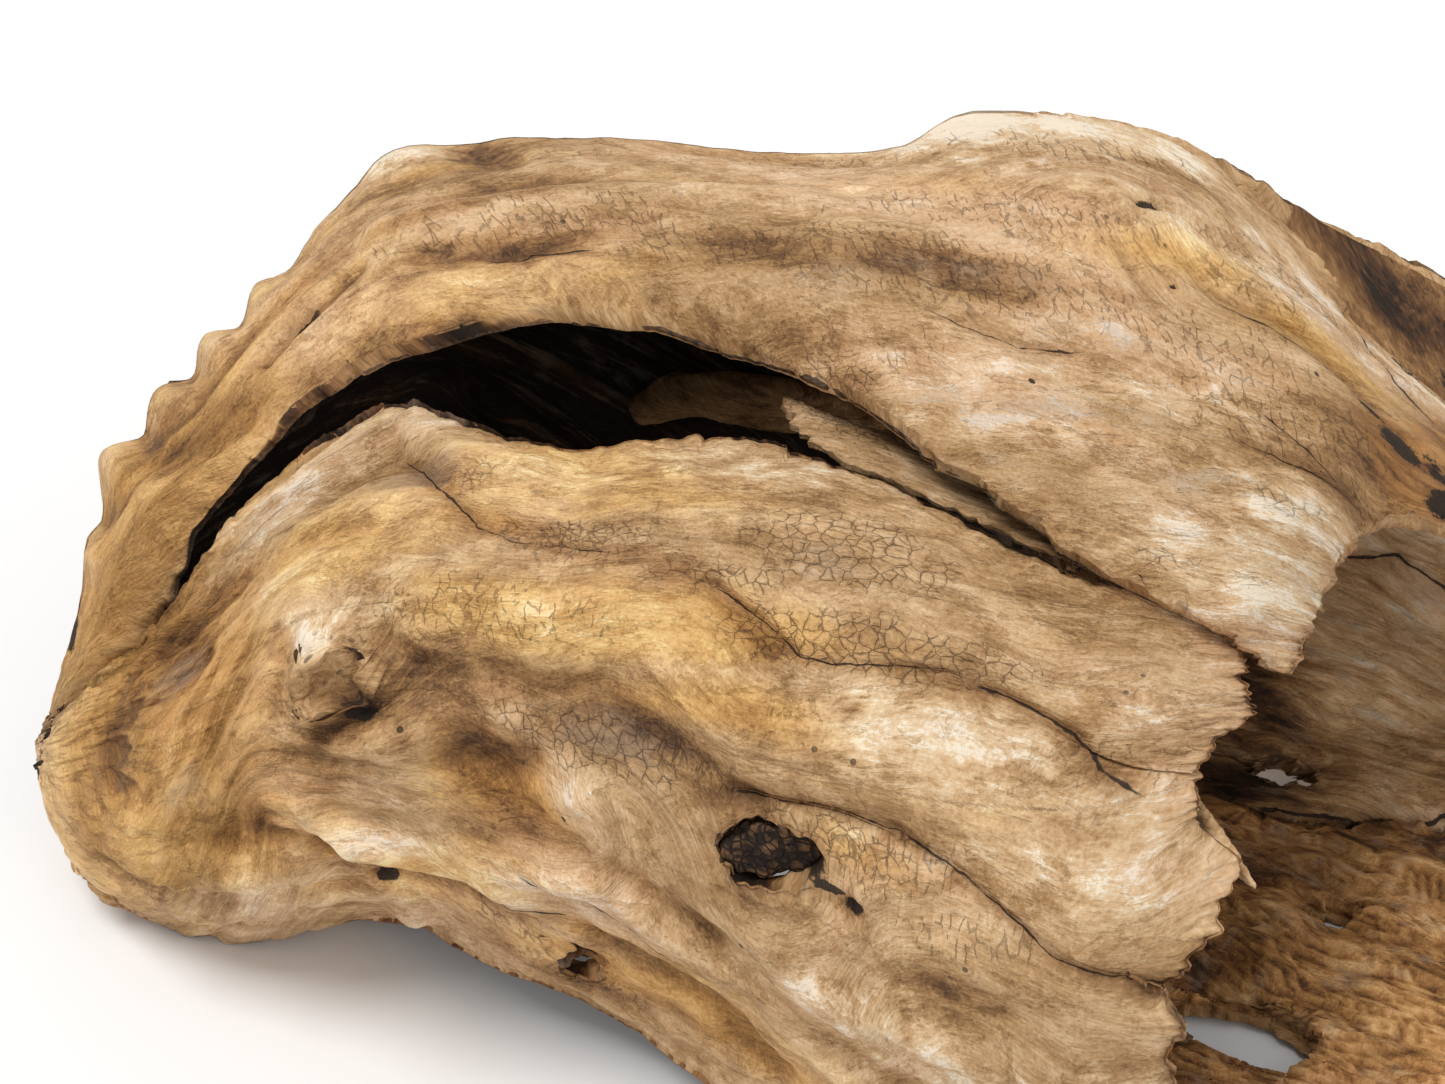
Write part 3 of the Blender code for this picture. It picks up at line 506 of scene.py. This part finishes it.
def close_seams(cage, node):
    """Moves the cage's edge to meet the pieces it has split from, and marks what it met."""
    met = set()
    for vertex in cage.verts:
        best = None
        for other in JOINED.get(node, []):
            spot, _, _, distance = TREES[other].find_nearest(vertex.co, SEAM_REACH * MM)
            if spot is not None and (best is None or distance < best[1]):
                best = (spot, distance)
        if best:
            met.add(vertex.index)
            vertex.co = vertex.co.lerp(
                best[0], 0.5 + SEAM_OVERLAP / max(best[1] / MM, SEAM_OVERLAP)
            )
    return met


def smoothed(cage, node, level):
    """A new piece from a cage, subdivided and with the modifier applied."""
    mesh = bpy.data.meshes.new(node + "_skin")
    cage.to_mesh(mesh)
    cage.free()
    piece = bpy.data.objects.new(node + "_skin", mesh)
    bpy.context.scene.collection.objects.link(piece)
    smooth = piece.modifiers.new("smooth", "SUBSURF")
    smooth.levels = smooth.render_levels = level
    whole_scene = bpy.context.evaluated_depsgraph_get()
    grown = bpy.data.meshes.new_from_object(piece.evaluated_get(whole_scene))
    piece.modifiers.clear()
    piece.data = grown
    bpy.data.meshes.remove(mesh)
    return piece


def surface(mesh):
    """The places of a mesh's vertices in millimetres, and their normals."""
    flat = np.empty(len(mesh.vertices) * 3)
    mesh.vertices.foreach_get("co", flat)
    points = mm(flat.reshape(-1, 3))
    mesh.vertices.foreach_get("normal", flat)
    return points, flat.reshape(-1, 3)


def hand_over(piece, node, finish):
    """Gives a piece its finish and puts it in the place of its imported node."""
    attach(piece, "root")
    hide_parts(node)
    piece.data.materials.clear()
    piece.data.materials.append(finish)


def spread(cage, amount):
    """Pushes a cage's vertices away from the line through its middle, outward from the core."""
    middle = sum((v.co for v in cage.verts), Vector()) / len(cage.verts)
    axis = Vector(Wood(mm(np.array(middle))[None]).out[0])
    for vertex in cage.verts:
        arm = vertex.co - middle
        arm -= axis * arm.dot(axis)
        vertex.co += arm.normalized() * amount * MM


def broaden(cage, amount):
    """Moves the two long sides of a cage apart, across the grain."""
    here = Wood(mm(np.array([v.co for v in cage.verts])))
    middle = np.polyval(np.polyfit(here.along, here.round, 2), here.along)
    upward = np.cross(here.grain, here.out) * np.sign(here.round - middle)[:, None]
    upward *= np.sign(np.cross(here.grain, here.out)[:, 2:3])
    for vertex, step in zip(cage.verts, upward):
        vertex.co += Vector(step) * amount * MM


def skin(
    node, level, finish, relief=1.0, teeth=4.5, crumble=1.2, thin=3.0, steps=0.0, slant=0.0,
    seed=0, swell=0.0, widen=0.0, sink=0.0, gnarl=0.0,
):
    """Grows detailed wood over a packed wall.

    Heights are in millimetres: teeth of torn ends, crumble of lips, thin is what worn edges
    lose, swell and widen enlarge the wall first, sink lowers it and gnarl twists it. Relief,
    steps and slant scale the folds, the floor's steps and the turn of the inner grain.
    """
    cage = clean_cage(node)
    cage.verts.index_update()
    met = close_seams(cage, node)
    if swell:
        spread(cage, swell)
    if widen:
        broaden(cage, widen)
    cage.normal_update()
    crease = cage.edges.layers.float.new("crease_edge")
    ends, lips = [], []
    for edge in cage.edges:
        if len(edge.link_faces) == 2 and edge.calc_face_angle() > CREASE:
            edge[crease] = 1.0
            if all(v.index in met for v in edge.verts):
                continue
            a, b = (np.array(v.co) / MM for v in edge.verts)
            normals = [np.array(f.normal) for f in edge.link_faces]
            here = Wood(((a + b) / 2)[None])
            rim = min(normals, key=lambda n: abs(n @ here.out[0]))
            samples = [a + (b - a) * t for t in (0.0, 0.25, 0.5, 0.75)]
            (ends if abs(rim @ here.grain[0]) > RIM_TURN else lips).extend(samples)
    piece = smoothed(cage, node, level)
    shape_wood(piece.data, ends, lips, relief, teeth, crumble, thin, steps, slant, sink, gnarl, seed)
    hand_over(piece, node, finish)


def nearest(points, marks, reach):
    """Distance from each point to the nearest mark, or reach where there is none nearer."""
    if not len(marks):
        return np.full(len(points), reach)
    tree = KDTree(len(marks))
    for i, mark in enumerate(marks):
        tree.insert(mark, i)
    tree.balance()
    return np.minimum([tree.find(point)[2] for point in points], reach)


def shape_wood(mesh, ends, lips, relief, teeth, crumble, thin, steps, slant, sink, gnarl, seed):
    """Displaces a subdivided wall into weathered wood and stores its grain and its patches."""
    count = len(mesh.vertices)
    points, normals = surface(mesh)
    wood = Wood(points)
    facing = (normals * wood.out).sum(1)
    outside = smoothstep(-0.35, 0.35, facing)
    inside = 1 - outside
    grain = grain_lines(wood)
    grain[:, 1] -= 0.55 * wood.along * inside * slant
    depth = wood.radius
    if steps:
        x, y, depth = points.T
        bend = 7 * noise(points / (70, 50, 50), 5) + 3 * noise(points / (26, 18, 26), 6)
        grain = np.stack([0.88 * x - 0.48 * y, 0.88 * y + 0.48 * x + 0.9 * depth + bend], 1)
    flow = np.stack([grain[:, 0], grain[:, 1], wood.radius * 0], 1)
    lumps = np.stack([wood.along, wood.arc, wood.radius], 1)

    to_end = nearest(points, ends, 60.0)
    to_lip = nearest(points, lips, 40.0)
    edge = np.minimum(to_end, to_lip)

    broad = folds(wood, grain) * relief
    outer_crack = crack_field(wood, CRACKS)
    inner_crack = crack_field(wood, INNER_CRACKS)
    crack = [np.where(outside > 0.5, a, b) for a, b in zip(outer_crack, inner_crack)]
    groove = crack[1] * np.exp(-((crack[0] / (1.2 + crack[2])) ** 2))
    inner = 1.6 * layered(flow, (52, 12, 1), 2, 41 + seed) + 0.35 * noise(flow / (24, 3.5, 1), 44)
    height = broad + furrows(grain, lumps) * outside + inner * inside * (1 - 0.7 * steps)
    height += groove * (inside * 1.8 - outside * 1.0)
    terrace = np.zeros(count)
    if steps:
        level = layered(flow, (60, 15, 1), 2, 46) + 0.16 * noise(flow / (14, 3.0, 1), 49)
        for low, rise in SHELF_STEPS:
            height -= steps * inside * rise * smoothstep(low, low + 0.05, level)
            terrace = np.maximum(terrace, np.exp(-(((level - low + 0.04) / 0.05) ** 2)))
    height += inside * thin * np.exp(-edge / WORN_REACH)
    height -= sink
    moved = points + wood.out * height[:, None]

    # Broken ends: fibres torn off at different lengths.
    across = np.stack([grain[:, 1], wood.radius * 0.35, np.full(count, seed * 7.0)], 1)
    torn = (
        0.9 * noise(across / (12, 9, 1), 51) + 0.8 * noise(across / (5, 6, 1), 52)
        + 0.9 * np.abs(noise(across / (2.2, 3, 1), 53))
    )
    moved += wood.grain * (torn * teeth * np.clip(1 - to_end / TORN_REACH, 0, 1) ** 1.5)[:, None]

    # Lips: crumbled along their length.
    side = np.cross(wood.out, wood.grain)
    crumbled = 1.2 * noise(lumps / (8, 8, 14), 55) + 0.8 * noise(lumps / (3.2, 3.2, 6), 56)
    tears = (wood.along / 17 + 1.5 * noise(lumps / (30, 60, 90), 57)) % 1.0
    tears = 2.6 * tears * smoothstep(-0.05, 0.25, noise(lumps / (38, 90, 90), 58))
    moved += side * ((crumbled * crumble + tears) * np.clip(1 - to_lip / LIP_REACH, 0, 1))[:, None]
    if gnarl:
        moved += gnarl * np.stack([layered(lumps, (9, 8, 9), 3, i) for i in (61, 62, 63)], 1)
    moved[:, 2] = np.maximum(moved[:, 2], 0.0)
    mesh.vertices.foreach_set("co", (moved * MM).ravel())
    mesh.update()

    through = depth * (1 - 0.7 * steps)
    store(mesh, "grain", "FLOAT_VECTOR", np.stack([grain[:, 0], grain[:, 1], through], 1))
    store(mesh, "place", "FLOAT_VECTOR", lumps)
    tone = [patch(wood, places) * outside for places in (BROWN, PALE, GREY, GOLD)]
    store(mesh, "tone", "FLOAT_COLOR", np.stack(tone, 1))
    # Painted shade and highlight from the relief: outside, low darkens the valleys of the folds and
    # high lightens their ridges. Inside, low holds the dark patches and the edges of the floor's
    # steps, and high the pale patches.
    low = smoothstep(0.6, -3.0, broad) * outside
    low = np.maximum(low, inside * np.maximum(patch(wood, INNER_DARK), terrace * 0.8))
    high = smoothstep(1.5, 5.0, broad) * outside + inside * patch(wood, INNER_PALE)
    checks_and_relief_shade = [patch(wood, FINE_CHECKED) * outside, patch(wood, SCALED) * outside, low, high]
    store(mesh, "checks_and_relief_shade", "FLOAT_COLOR", np.stack(checks_and_relief_shade, 1))
    store(mesh, "crack", "FLOAT_COLOR", np.stack([*crack, np.exp(-edge / EDGE_STAIN_AND_SHADE)], 1))
    marks = [
        patch(wood, BURNT) * outside, patch(wood, SCORCHED_AND_PIT_SHADE) * outside,
        patch(wood, PITTED) * outside, inside,
    ]
    store(mesh, "marks", "FLOAT_COLOR", np.stack(marks, 1))
    mesh.shade_smooth()
    mesh.set_sharp_from_angle(angle=SHARP)


def store(mesh, name, kind, values):
    """Keeps values, one row per vertex, on the mesh for its material."""
    layer = mesh.attributes.new(name, kind, "POINT")
    field = "vector" if kind == "FLOAT_VECTOR" else "color"
    layer.data.foreach_set(field, np.ascontiguousarray(values, np.float32).ravel())


# ---------------------------------------------------------------- shader writing

class Value:
    """A number that varies over the surface. Sums on it add Math nodes."""

    def __init__(self, shader, socket):
        self.shader, self.socket = shader, socket

    def math(self, operation, *others):
        values = dict(enumerate([self, *others]))
        return self.shader.add("ShaderNodeMath", {"operation": operation}, values)

    def __add__(self, other):
        return self.math("ADD", other)

    def __mul__(self, other):
        return self.math("MULTIPLY", other)

    def __sub__(self, other):
        return self.math("SUBTRACT", other)

    def __rsub__(self, other):
        return self.shader.add("ShaderNodeMath", {"operation": "SUBTRACT"}, {0: other, 1: self})

    __radd__, __rmul__ = __add__, __mul__

    def most(self, other):
        return self.math("MAXIMUM", other)

    def step(self, low, high):
        """0 below low and 1 above high, smooth between them; low may be the larger."""
        if low > high:
            return 1 - self.step(high, low)
        return self.shader.add(
            "ShaderNodeMapRange", {"interpolation_type": "SMOOTHSTEP"}, {0: self, 1: low, 2: high}
        )


class Shader:
    """One material, written node by node."""

    def __init__(self, name):
        self.material = bpy.data.materials.new(name)
        self.material.use_nodes = True
        self.tree = self.material.node_tree
        self.tree.nodes.clear()
        self.surface = self.tree.nodes.new("ShaderNodeBsdfPrincipled")
        output = self.tree.nodes.new("ShaderNodeOutputMaterial")
        self.tree.links.new(self.surface.outputs[0], output.inputs[0])

    def set(self, socket, value):
        if isinstance(value, Value):
            self.tree.links.new(value.socket, socket)
        else:
            socket.default_value = value

    def add(self, kind, settings=None, values=None, output=0):
        """Adds a node with its settings, then the values or links of its sockets."""
        node = self.tree.nodes.new(kind)
        for name, setting in (settings or {}).items():
            if name == "stops":
                for stop, (place, colour) in zip(self.stops(node, len(setting)), setting):
                    stop.position, stop.color = place, (*colour, 1)
            else:
                setattr(node, name, setting)
        for name, value in (values or {}).items():
            self.set(node.inputs[name], value)
        return Value(self, node.outputs[output])

    @staticmethod
    def stops(node, count):
        elements = node.color_ramp.elements
        while len(elements) < count:
            elements.new(0.5)
        return elements

    def stored(self, name):
        """A vector kept on the mesh."""
        return self.add("ShaderNodeAttribute", {"attribute_name": name}, output="Vector")

    def channels(self, name):
        """The four numbers kept on the mesh under one name."""
        node = self.tree.nodes.new("ShaderNodeAttribute")
        node.attribute_name = name
        split = self.tree.nodes.new("ShaderNodeSeparateColor")
        self.tree.links.new(node.outputs["Color"], split.inputs[0])
        colours = [Value(self, split.outputs[i]) for i in range(3)]
        return colours + [Value(self, node.outputs["Alpha"])]

    def stretched(self, vector, sizes, offset=0.0):
        """Vector measured in units of sizes, in millimetres along, across and through the wood."""
        scale = tuple(1 / s for s in sizes)
        return self.add(
            "ShaderNodeVectorMath", {"operation": "MULTIPLY_ADD"},
            {0: vector, 1: scale, 2: (offset, offset * 1.7, offset * 0.3)},
        )

    def cloud(self, vector, sizes, detail=2.0, rough=0.5, bend=0.0, offset=0.0):
        """Noise from 0 to 1 with cells of the given sizes."""
        place = self.stretched(vector, sizes, offset)
        return self.add(
            "ShaderNodeTexNoise", {"noise_dimensions": "3D"},
            {
                "Vector": place, "Scale": 1.0, "Detail": detail, "Roughness": rough,
                "Distortion": bend,
            },
        )

    def cells(self, vector, sizes, feature="DISTANCE_TO_EDGE", chance=1.0, offset=0.0):
        place = self.stretched(vector, sizes, offset)
        return self.add(
            "ShaderNodeTexVoronoi", {"feature": feature},
            {"Vector": place, "Scale": 1.0, "Randomness": chance},
        )

    def blend(self, factor, below, above, way="MIX"):
        """Colour above laid over colour below by factor."""
        settings = {"data_type": "RGBA", "blend_type": way, "clamp_factor": True}
        colours = {
            i: (*c, 1) if isinstance(c, tuple) and len(c) == 3 else c
            for i, c in ((6, below), (7, above))
        }
        return self.add("ShaderNodeMix", settings, {0: factor, **colours}, output=2)

    def finish(self, colour, roughness, height, depth):
        """Closes the material; depth is how many millimetres a height of 1 stands."""
        self.set(self.surface.inputs["Base Color"], colour)
        self.set(self.surface.inputs["Roughness"], roughness)
        self.surface.inputs["Specular IOR Level"].default_value = 0.28
        bump = self.add(
            "ShaderNodeBump", {}, {"Strength": 1.0, "Distance": depth * MM, "Height": height}
        )
        self.set(self.surface.inputs["Normal"], bump)
        return self.material


# ---------------------------------------------------------------- finishes

# Wood from its darkest to its most bleached.
WOOD_TONES = [
    (0.00, (0.020, 0.011, 0.006)), (0.18, (0.090, 0.040, 0.015)), (0.36, (0.220, 0.110, 0.040)),
    (0.50, (0.355, 0.195, 0.078)), (0.64, (0.490, 0.295, 0.138)), (0.78, (0.640, 0.425, 0.232)),
    (0.92, (0.740, 0.550, 0.345)), (1.00, (0.850, 0.725, 0.560)),
]
# Near black: of char, cracks and dead knots, and painted shade in knot holes and dents.
CHAR_AND_SHADE = (0.020, 0.012, 0.009)
CHECK_BROWN = (0.060, 0.030, 0.014)
SILVER = (0.33, 0.245, 0.175)
HONEY = (1.08, 0.98, 0.66)
ROSE = (1.0, 0.94, 0.96)
AMBER = (1.12, 0.95, 0.68)
RUST = (0.19, 0.070, 0.016)
GILT = (0.43, 0.205, 0.060)
UMBER = (0.24, 0.12, 0.05)


def weathered_wood(name, base=0.715, inner_base=0.68, inner_warm=0.2, hollow_shade_amount=1.0):
    """Driftwood: tones of tan and brown that follow the grain, checking, stains and pits, with painted
    shade and highlight.
    """
    s = Shader(name)
    grain, place = s.stored("grain"), s.stored("place")
    brown, pale, grey, gold = s.channels("tone")
    checked, scaled, low, high = s.channels("checks_and_relief_shade")
    crack_gap, crack_here, crack_width, edge = s.channels("crack")
    burnt, scorched_and_pit_shade, pitted, hidden = s.channels("marks")

    blotch = s.cloud(grain, (64, 26, 200), 3, 0.55, 0.5) - 0.5
    mottle = s.cloud(grain, (19, 11, 70), 5, 0.66, 0.9, 2.3) - 0.5
    streak = s.cloud(grain, (30, 4.4, 70), 4, 0.62, 0.6, 3.1) - 0.5
    fibre = s.cloud(grain, (5.5, 0.9, 30), 3, 0.65, 0.5, 7.7) - 0.5
    hair = s.cloud(grain, (1.9, 0.55, 14), 2, 0.6, 0.6, 1.9) - 0.5
    speck = s.cloud(place, (0.8, 0.8, 9), 1, 0.6, 0.5, 4.9) - 0.5
    spots = s.cloud(place, (13, 10, 70), 5, 0.66, 0.5, 16.4) - 0.5
    ragged = mottle * 1.1 + spots * 0.5 + fibre * 0.4

    shown = 1 - hidden.step(0.3, 0.8)

    # Flakes: the bleached skin has come off in islands with crisp edges.
    flake = s.cloud(place, (20, 9, 90), 6, 0.72, 1.0, 21.3).step(0.535, 0.560)
    stain = (brown + ragged).step(0.22, 0.85)
    bleach = (pale + ragged).step(0.2, 0.8)
    texture = fibre * 0.36 + hair * 0.34 + speck * 0.30
    # Outside, low is painted shade in the valleys of the folds and high is painted highlight on their
    # ridges.
    tone = (
        blotch * 0.6 + mottle * 0.60 + spots * 0.60 + streak * 0.30 + texture + base
        + bleach * 0.23 + pale.step(0.9, 1.5) * 0.11 - stain * 0.30 - low * 0.25 + high * 0.12
        - flake * 0.085
    )
    # Painted shade of the deep hollow: the inner walls darken toward the closed end.
    hollow_depth_shade = s.add("ShaderNodeSeparateXYZ", {}, {0: place}).step(440, 320)
    inner_tone = (
        blotch * 0.8 + mottle * 0.9 + streak * 0.9 + texture * 0.8 + inner_base
        + high * 0.14 - low * 0.42 - hollow_depth_shade * 0.74 * hollow_shade_amount
    )
    tone = tone * shown + inner_tone * (1 - shown)
    wood = s.add("ShaderNodeValToRGB", {"stops": WOOD_TONES}, {0: tone})
    wood = s.blend((gold + ragged - pale * 0.7 + 0.08).step(0.1, 0.8) * shown, wood, HONEY, "MULTIPLY")
    wood = s.blend((blotch * 3.0).step(-0.2, 0.5) * 0.8, wood, ROSE, "MULTIPLY")
    wood = s.blend((grey + ragged * 1.2).step(0.28, 0.7) * 0.45, wood, SILVER)
    wood = s.blend((1 - shown) * inner_warm, wood, AMBER, "MULTIPLY")
    wood = s.blend((spots * 2.0 + streak * 2.0).step(0.0, 0.5) * (1 - shown) * 0.4, wood, SILVER)
    rusty = s.blend((streak + mottle * 1.5 + 0.5).step(0.3, 0.75), RUST, GILT)
    wood = s.blend((burnt + ragged).step(0.3, 0.75) * 0.85, wood, rusty)

    # Checks: fine ones lie across the grain, coarse ones join into scales.
    bend = s.add(
        "ShaderNodeTexNoise", {},
        {"Vector": s.stretched(place, (6, 6, 6)), "Scale": 1.0, "Detail": 3.0}, output=1,
    )
    bent = s.add(
        "ShaderNodeVectorMath", {"operation": "MULTIPLY_ADD"}, {0: bend, 1: (4.0, 4.0, 0.0), 2: place}
    )
    gate = s.cloud(place, (9, 9, 20), 3, 0.6, 0.0, 9.4) - 0.5
    broken = s.cloud(place, (2.2, 2.2, 8), 1, 0.5, 0.0, 6.6)
    fine_gap = s.cells(bent, (2.9, 6.2, 40), chance=0.9) + broken.step(0.45, 0.75) * 0.2
    coarse_gap = s.cells(bent, (3.7, 3.3, 60), chance=0.95, offset=4.3) + (broken - 0.42) * 0.10
    fine_check = fine_gap.step(0.075, 0.02) * (checked + gate * 1.6 + 0.06).step(0.22, 0.55)
    scales = (scaled + gate * 1.2).step(0.2, 0.55)
    coarse_check = coarse_gap.step(0.045, 0.005) * scales
    check = (fine_check * 0.7).most(coarse_check * 0.9) * shown
    dome = coarse_gap.step(0.0, 0.22) * scales * shown

    # Short splits along the grain.
    split = s.cloud(grain, (9, 0.55, 40), 1, 0.5, 0.0, 14.0).step(0.68, 0.76)
    split = split * (gate * 2.0 + 0.2).step(0.1, 0.6)

    # Pinholes that borers have left.
    hole = s.cells(place, (4.4, 3.6, 60), "F1", 1.0, 2.7)
    pin = hole.step(0.19, 0.10) * (pitted + gate).step(0.3, 0.6) * 0.8
    pin = pin.most(s.cells(place, (31, 31, 90), "F1", 1.0, 6.1).step(0.026, 0.016)) * shown

    wander = (s.cloud(place, (7, 7, 20), 3, 0.6, 0.0, 8.2) - 0.5) * 2.2
    pinch = s.cloud(place, (9, 9, 40), 3, 0.6, 0.0, 12.8) - 0.5
    near = (crack_gap + wander).math("ABSOLUTE") - crack_width * 0.6 + pinch * 1.3
    crack = near.step(0.14, -0.12) * (crack_here - pinch * 0.8).step(0.25, 0.6)
    halo = near.step(3.2, 0.0) * crack_here * (0.5 - pinch)

    wood = s.blend(halo * 0.75, wood, UMBER)
    wood = s.blend(scales * shown * (1 - dome) * 0.18, wood, UMBER)
    wood = s.blend((check * 0.62).most(split * 0.5), wood, CHECK_BROWN)
    wood = s.blend((crack * 0.93).most(pin * 0.85), wood, CHAR_AND_SHADE)
    # A dark line along broken edges: partly a stain, partly painted shade on the rims.
    wood = s.blend((edge + ragged).step(0.40, 1.0) * 0.45, wood, UMBER)
    # Near black in burnt places, and painted shade in knot holes and dents.
    wood = s.blend((scorched_and_pit_shade + ragged * 0.9 + speck * 0.4).step(0.48, 0.62) * 0.95, wood, CHAR_AND_SHADE)

    height = (
        streak * 0.7 + fibre * 0.8 + hair * 0.5 + mottle * 1.0 + spots * 0.8
        - check * 0.5 - split * 0.3 - pin * 1.0 - crack * 0.9 - flake * 0.22 + dome * 0.35
    )
    rough = (0.66 + fibre * 0.3 + check * 0.12 - bleach * 0.06).math("MINIMUM", 0.95)
    return s.finish(wood, rough, height, 0.8)


def dead_wood(name, colour):
    """Encased knot wood: black-brown, cracked into crumbs."""
    s = Shader(name)
    place = s.stored("place")
    lump = s.cloud(place, (3.5, 3.5, 3.5), 4, 0.65, 0.4)
    scale_edge = s.cells(place, (2.4, 2.4, 2.4))
    line = scale_edge.step(0.10, 0.02)
    wood = s.blend(lump.step(0.4, 0.72), colour, UMBER)
    wood = s.blend(lump.step(0.60, 0.75) * 0.5, wood, SILVER)
    wood = s.blend(line * 0.9, wood, CHAR_AND_SHADE)
    return s.finish(wood, 0.85 - lump * 0.1, lump * 0.9 - line * 0.8, 1.2)


def plain_floor():
    s = Shader("pale_floor")
    speck = s.cloud(s.add("ShaderNodeTexCoord", {}, {}, "Object"), (0.3, 0.3, 0.3), 2)
    colour = s.blend(speck, (0.86, 0.86, 0.86), (0.90, 0.90, 0.90))
    return s.finish(colour, 0.9, speck, 0.05)


# ---------------------------------------------------------------- small pieces

def lumpy(node, level, size, height, finish, seed):
    """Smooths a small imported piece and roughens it."""
    piece = smoothed(clean_cage(node), node, level)
    mesh = piece.data
    points, normals = surface(mesh)
    wood = Wood(points)
    grain = grain_lines(wood)
    flow = np.stack([grain[:, 0], grain[:, 1], wood.radius], 1)
    rise = height * layered(flow, size, 3, seed)
    mesh.vertices.foreach_set("co", ((points + normals * rise[:, None]) * MM).ravel())
    mesh.update()
    store(mesh, "grain", "FLOAT_VECTOR", flow)
    store(mesh, "place", "FLOAT_VECTOR", np.stack([wood.along, wood.arc, wood.radius], 1))
    for name in ("tone", "checks_and_relief_shade", "crack", "marks"):
        store(mesh, name, "FLOAT_COLOR", np.zeros((len(points), 4)))
    mesh.shade_smooth()
    hand_over(piece, node, finish)


# ---------------------------------------------------------------- the wood

OUTER = weathered_wood("weathered_wood")
FLOOR_WOOD = weathered_wood("decayed_floor_wood", 0.52, 0.64, 0.9, 0.25)
BROWN_LAYER = weathered_wood("brown_layer_wood", 0.49, 0.5, 0.7)
RIB_WOOD = weathered_wood("inner_rib_wood", 0.43, 0.43, 0.6, 0.0)
PALE_SPLINTER = weathered_wood("splinter_wood", 0.70)
DEAD = dead_wood("dead_knot_wood", CHAR_AND_SHADE)

# Walls: (node, levels of subdivision, finish, what differs in its skin).
WALLS = [
    ("crown_slab", FINE, OUTER, {"seed": 1, "teeth": 4.2}),
    ("shoulder_plate", FINE, OUTER, {"seed": 2}),
    ("belly_plate", FINE, OUTER, {"seed": 3}),
    ("skirt_plate", FINE, OUTER, {"seed": 4, "crumble": 2.4}),
    ("branch_stub", FINE, OUTER, {"seed": 2, "swell": 3.4, "sink": 1.2, "gnarl": 3.0}),
    ("butt_core", COARSE, OUTER, {"seed": 1}),
    ("back_wall", COARSE, OUTER, {"seed": 5, "slant": 1.0}),
    (
        "floor_shelf", COARSE, FLOOR_WOOD,
        {"seed": 6, "relief": 0.3, "teeth": 6.0, "crumble": 2.5, "steps": 1.0},
    ),
    ("butt_base", COARSE, OUTER, {"seed": 7, "relief": 0.5}),
    ("rear_plate", COARSE, BROWN_LAYER, {"seed": 8, "relief": 0.3, "teeth": 7.0, "thin": 1.0}),
    ("torn_strip", FINE, OUTER, {"seed": 9, "relief": 0.3, "thin": 0.5, "widen": 2.6}),
]
for node, level, wood_finish, options in WALLS:
    skin(node, level, wood_finish, **options)

# Small pieces: (node, levels of subdivision, size of their lumps in mm, height in mm, finish, seed).
SMALL = [
    ("inner_rib", 3, (26, 7, 12), 2.2, RIB_WOOD, 72),
    ("splinter", 3, (20, 1.6, 2), 0.4, PALE_SPLINTER, 73),
    ("fine_splinter", 3, (20, 1.2, 2), 0.25, PALE_SPLINTER, 74),
    ("dead_knot", 4, (5, 4, 4), 1.3, DEAD, 75),
    ("hem_knot", 3, (3, 3, 3), 0.7, DEAD, 77),
]
for node, level, size, height, wood_finish, seed in SMALL:
    lumpy(node, level, size, height, wood_finish, seed)


# ---------------------------------------------------------------- floor, light and camera

FLOOR_REACH = 60.0  # metres, far enough that its edge is never seen
FLOOR_DROP = 0.0004  # metres below the wood, so that they never share a plane

floor_mesh = bpy.data.meshes.new("floor")
sheet = bmesh.new()
bmesh.ops.create_grid(sheet, x_segments=1, y_segments=1, size=FLOOR_REACH)
sheet.to_mesh(floor_mesh)
sheet.free()
floor_mesh.materials.append(plain_floor())
floor = bpy.data.objects.new("floor", floor_mesh)
floor.location.z = -FLOOR_DROP
bpy.context.scene.collection.objects.link(floor)

world = bpy.data.worlds.new("studio")
world.use_nodes = True
world.node_tree.nodes["Background"].inputs["Color"].default_value = (1.0, 1.0, 1.0, 1)
world.node_tree.nodes["Background"].inputs["Strength"].default_value = 0.5
bpy.context.scene.world = world
bpy.context.scene.view_settings.view_transform = "Standard"


def soft_sun(name, source, spread, strength):
    """Even light from far off in the direction of source; spread in degrees softens it."""
    lamp = bpy.data.lights.new(name, "SUN")
    lamp.angle = math.radians(spread)
    lamp.energy = strength
    light = bpy.data.objects.new(name, lamp)
    light.location = Vector(source)
    light.rotation_mode = "QUATERNION"
    light.rotation_quaternion = (-Vector(source)).to_track_quat("-Z", "Y")
    bpy.context.scene.collection.objects.link(light)


soft_sun("key", (-0.42, -0.05, 1.0), 32, 2.1)
soft_sun("fill", (1.0, -0.9, 0.7), 60, 0.5)

camera_data = bpy.data.cameras.new("camera")
camera_data.lens = 60
camera_data.sensor_width = 36
camera = bpy.data.objects.new("camera", camera_data)
DISTANCE, ELEVATION = 0.740, math.radians(35)
AIM = Vector((-0.0355, 0.0181, 0.1155))
camera.location = AIM + DISTANCE * Vector((0, -math.cos(ELEVATION), math.sin(ELEVATION)))
camera.rotation_euler = (math.pi / 2 - ELEVATION, 0, 0)
bpy.context.scene.collection.objects.link(camera)
bpy.context.scene.camera = camera
